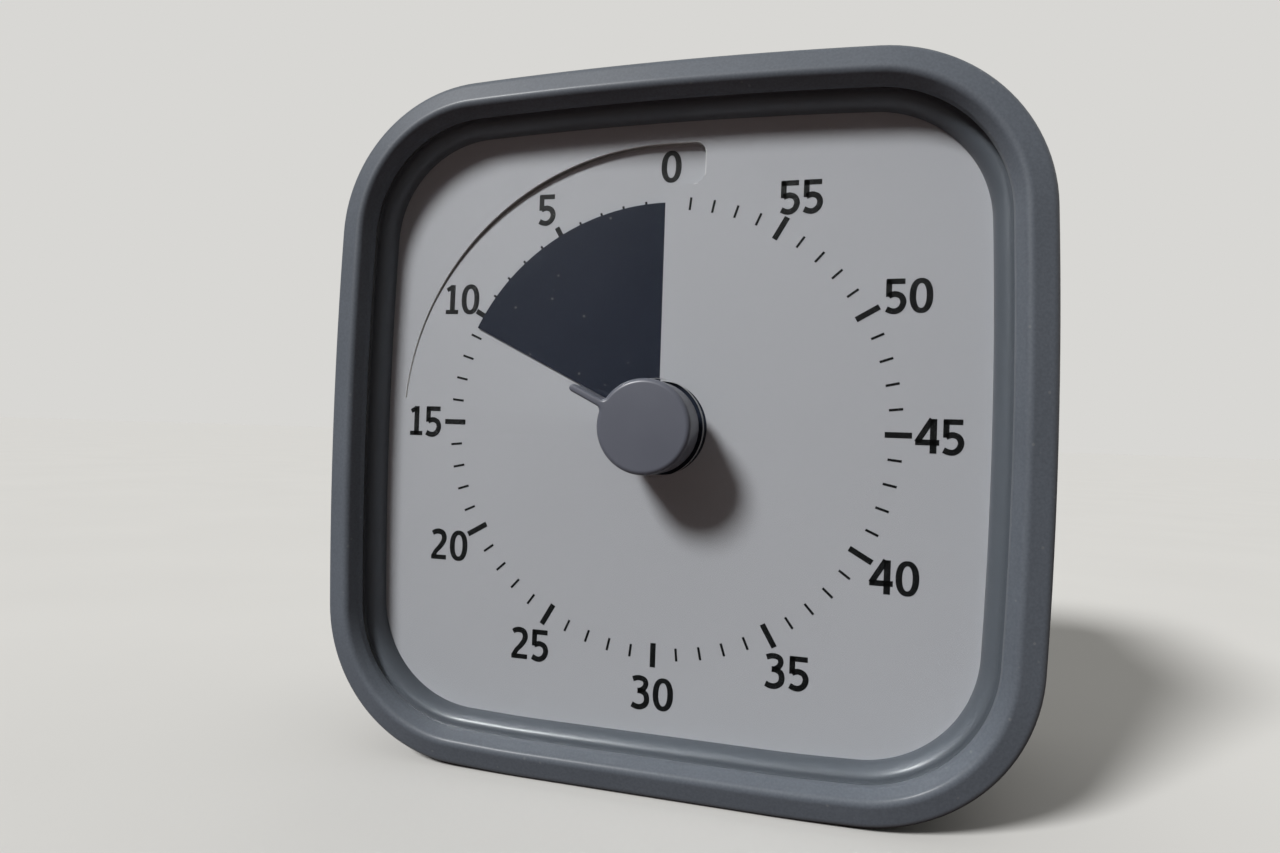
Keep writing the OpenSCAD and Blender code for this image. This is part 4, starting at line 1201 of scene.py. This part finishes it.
# The room: its dimmest strength, and what each soft light adds, as make_world() says
ROOM_DIM = 0.05
ROOM_LIGHTS = (
    ("Z", 0.5, 0.9, 0.45),  # broad light overhead
    ("X", 0.35, 0.8, 0.2),  # faint light from the right
    ("Y", -0.1, 0.5, 0.33),  # pale wall behind the timer
    ("Y", 0.6, 1.0, 1.8),  # lamp on that wall, for the timer's back
)
ROOM_PALE = "#d8d7d4"

# What the floor passes on to the timer, and what the window mirrors of it
FLOOR_BOUNCE = "#695955"
FLOOR_MIRRORED = "#303030"

# The camera: its place in the dial's frame in millimetres, and its turn in degrees
CAMERA_PLACE = (23.49, -1.01, 97.43)
CAMERA_HEADING, CAMERA_PITCH, CAMERA_ROLL = 15.09, 0.64, 1.9
LENS_LENGTH = 22.006
SENSOR_WIDTH = 36.0
NEAREST = 0.005  # metres


def key_light(toward, strength, width):
    """A soft key light: even light from one direction, from a patch of sky width degrees wide."""
    lamp = bpy.data.lights.new("key", "SUN")
    lamp.energy = strength
    lamp.angle = np.radians(width)
    holder = bpy.data.objects.new("key", lamp)
    holder.rotation_euler = Vector(toward).to_track_quat("Z", "Y").to_euler()
    bpy.context.scene.collection.objects.link(holder)


def make_camera():
    """A wide view from close by, a little to the right of the dial and level with it. The view's
    way follows from its heading and pitch, and the roll turns the picture about it."""
    heading, pitch, roll = np.radians([CAMERA_HEADING, CAMERA_PITCH, CAMERA_ROLL])
    forward = Vector(
        (-np.sin(heading) * np.cos(pitch), np.cos(heading) * np.cos(pitch), np.sin(pitch))
    )
    level_right = Vector((np.cos(heading), np.sin(heading), 0.0))
    level_up = level_right.cross(forward)
    right = level_right * np.cos(roll) + level_up * np.sin(roll)
    up = right.cross(forward)
    lens = bpy.data.cameras.new("view")
    lens.sensor_width = SENSOR_WIDTH
    lens.lens = LENS_LENGTH
    lens.clip_start = NEAREST
    camera = bpy.data.objects.new("view", lens)
    turn = Matrix((right, up, -forward)).transposed().to_4x4()
    camera.matrix_world = Matrix.Translation(Vector(stand(CAMERA_PLACE))) @ turn
    bpy.context.scene.collection.objects.link(camera)
    bpy.context.scene.camera = camera


def make_world(pale, dim, lights):
    """A dim room with soft lights, which the camera itself sees pale. Each light is (axis, start,
    full, strength): it grows from the start to the full share of the direction along an axis."""
    world = bpy.data.worlds.new("studio")
    bpy.context.scene.world = world
    world.use_nodes = True
    tree = world.node_tree
    tree.nodes.clear()
    generated = add(tree, "TexCoord").outputs["Generated"]
    way = add(tree, "SeparateXYZ", {"Vector": generated}).outputs
    room = add(tree, "Value").outputs[0]
    room.default_value = dim
    for axis, start, full, strength in lights:
        ramp = {"Value": way[axis], "From Min": start, "From Max": full, "To Max": strength}
        glow = add(tree, "MapRange", ramp).outputs["Result"]
        room = add(tree, "Math", {0: room, 1: glow}, operation="ADD").outputs[0]
    seen = add(tree, "LightPath").outputs["Is Camera Ray"]
    parts = {"Factor": seen, "A": room, "B": 1.0}
    strength = add(tree, "Mix", parts, data_type="FLOAT").outputs["Result"]
    sky = add(tree, "Background", {"Color": tint(pale), "Strength": strength})
    add(tree, "OutputWorld", {"Surface": sky.outputs["Background"]})


def paper_floor(rgb, bounce, mirrored):
    """Matt pale paper, faintly mottled. The camera sees it as pale as it is. What it passes on to
    the timer is a dimmer, warmer light, and the window hardly mirrors it at all."""
    material, tree, at = new_material("matt paper")
    cloud = {"Vector": at, "Scale": per(60.0), "Detail": 3.0}
    mottle = add(tree, "TexNoise", cloud).outputs["Fac"]
    tone = add(tree, "ValToRGB", {"Fac": mottle})
    for element, factor in zip(tone.color_ramp.elements, (0.97, 1.03)):
        element.color = tint(rgb, factor)
    path = add(tree, "LightPath").outputs
    parts = {"Factor": path["Is Diffuse Ray"], "A": tint(mirrored), "B": tint(bounce)}
    unseen = add(tree, "Mix", parts, data_type="RGBA").outputs["Result"]
    parts = {"Factor": path["Is Camera Ray"], "A": unseen, "B": tone.outputs["Color"]}
    shown = add(tree, "Mix", parts, data_type="RGBA").outputs["Result"]
    matt = {"Base Color": shown, "Roughness": 0.8, "Specular IOR Level": 0.0}
    shader = add(tree, "BsdfPrincipled", matt)
    add(tree, "OutputMaterial", {"Surface": shader.outputs["BSDF"]})
    return material


class TIMER_OT_stage(bpy.types.Operator):
    """Pale floor, soft studio light and the camera"""

    bl_idname = "timer.stage"
    bl_label = "Stage"

    def execute(self, context):
        scene = context.scene
        side = FLOOR_REACH
        mesh = bpy.data.meshes.new("floor")
        corners = [(-side, -side, 0), (side, -side, 0), (side, side, 0), (-side, side, 0)]
        mesh.from_pydata(corners, [], [(0, 1, 2, 3)])
        paper = paper_floor(
            scene.timer_colours.floor, linear(FLOOR_BOUNCE), linear(FLOOR_MIRRORED)
        )
        mesh.materials.append(paper)
        floor = bpy.data.objects.new("floor", mesh)
        scene.collection.objects.link(floor)
        key_light(KEY_TOWARD, KEY_STRENGTH, KEY_WIDTH)
        make_world(linear(ROOM_PALE), ROOM_DIM, ROOM_LIGHTS)
        make_camera()
        scene.view_settings.view_transform = "Standard"
        return {"FINISHED"}


# ---------------------------------------------------------------- registration


class TIMER_PT_panel(bpy.types.Panel):
    """Lists the timer's pieces"""

    bl_idname = "TIMER_PT_panel"
    bl_label = "Visual countdown timer"
    bl_space_type = "VIEW_3D"
    bl_region_type = "UI"
    bl_category = "Timer"

    def draw(self, context):
        for piece in PIECES:
            self.layout.operator(piece.bl_idname)
        for group in SETTINGS:
            box = self.layout.box()
            settings = getattr(context.scene, group)
            for name in settings.__annotations__:
                box.prop(settings, name)


PIECES = (
    TIMER_OT_finishes,
    TIMER_OT_sleeve,
    TIMER_OT_surround,
    TIMER_OT_dial,
    TIMER_OT_film,
    TIMER_OT_knob,
    TIMER_OT_ticks,
    TIMER_OT_figures,
    TIMER_OT_cut_line,
    TIMER_OT_stage,
)
SETTINGS = {
    "timer_shape": TimerShape,
    "timer_print": TimerPrint,
    "timer_colours": TimerColours,
}


def register():
    """Adds the settings to the scene and the classes to Blender."""
    for name, settings in SETTINGS.items():
        bpy.utils.register_class(settings)
        setattr(bpy.types.Scene, name, PointerProperty(type=settings))
    for item in (*PIECES, TIMER_PT_panel):
        bpy.utils.register_class(item)


def unregister():
    """Takes away what register() adds."""
    for item in (TIMER_PT_panel, *reversed(PIECES)):
        bpy.utils.unregister_class(item)
    for name, settings in reversed(SETTINGS.items()):
        delattr(bpy.types.Scene, name)
        bpy.utils.unregister_class(settings)


def main():
    """Registers the add-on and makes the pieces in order."""
    register()
    for piece in PIECES:
        getattr(bpy.ops.timer, piece.bl_idname.split(".")[1])()


if __name__ == "__main__":
    main()
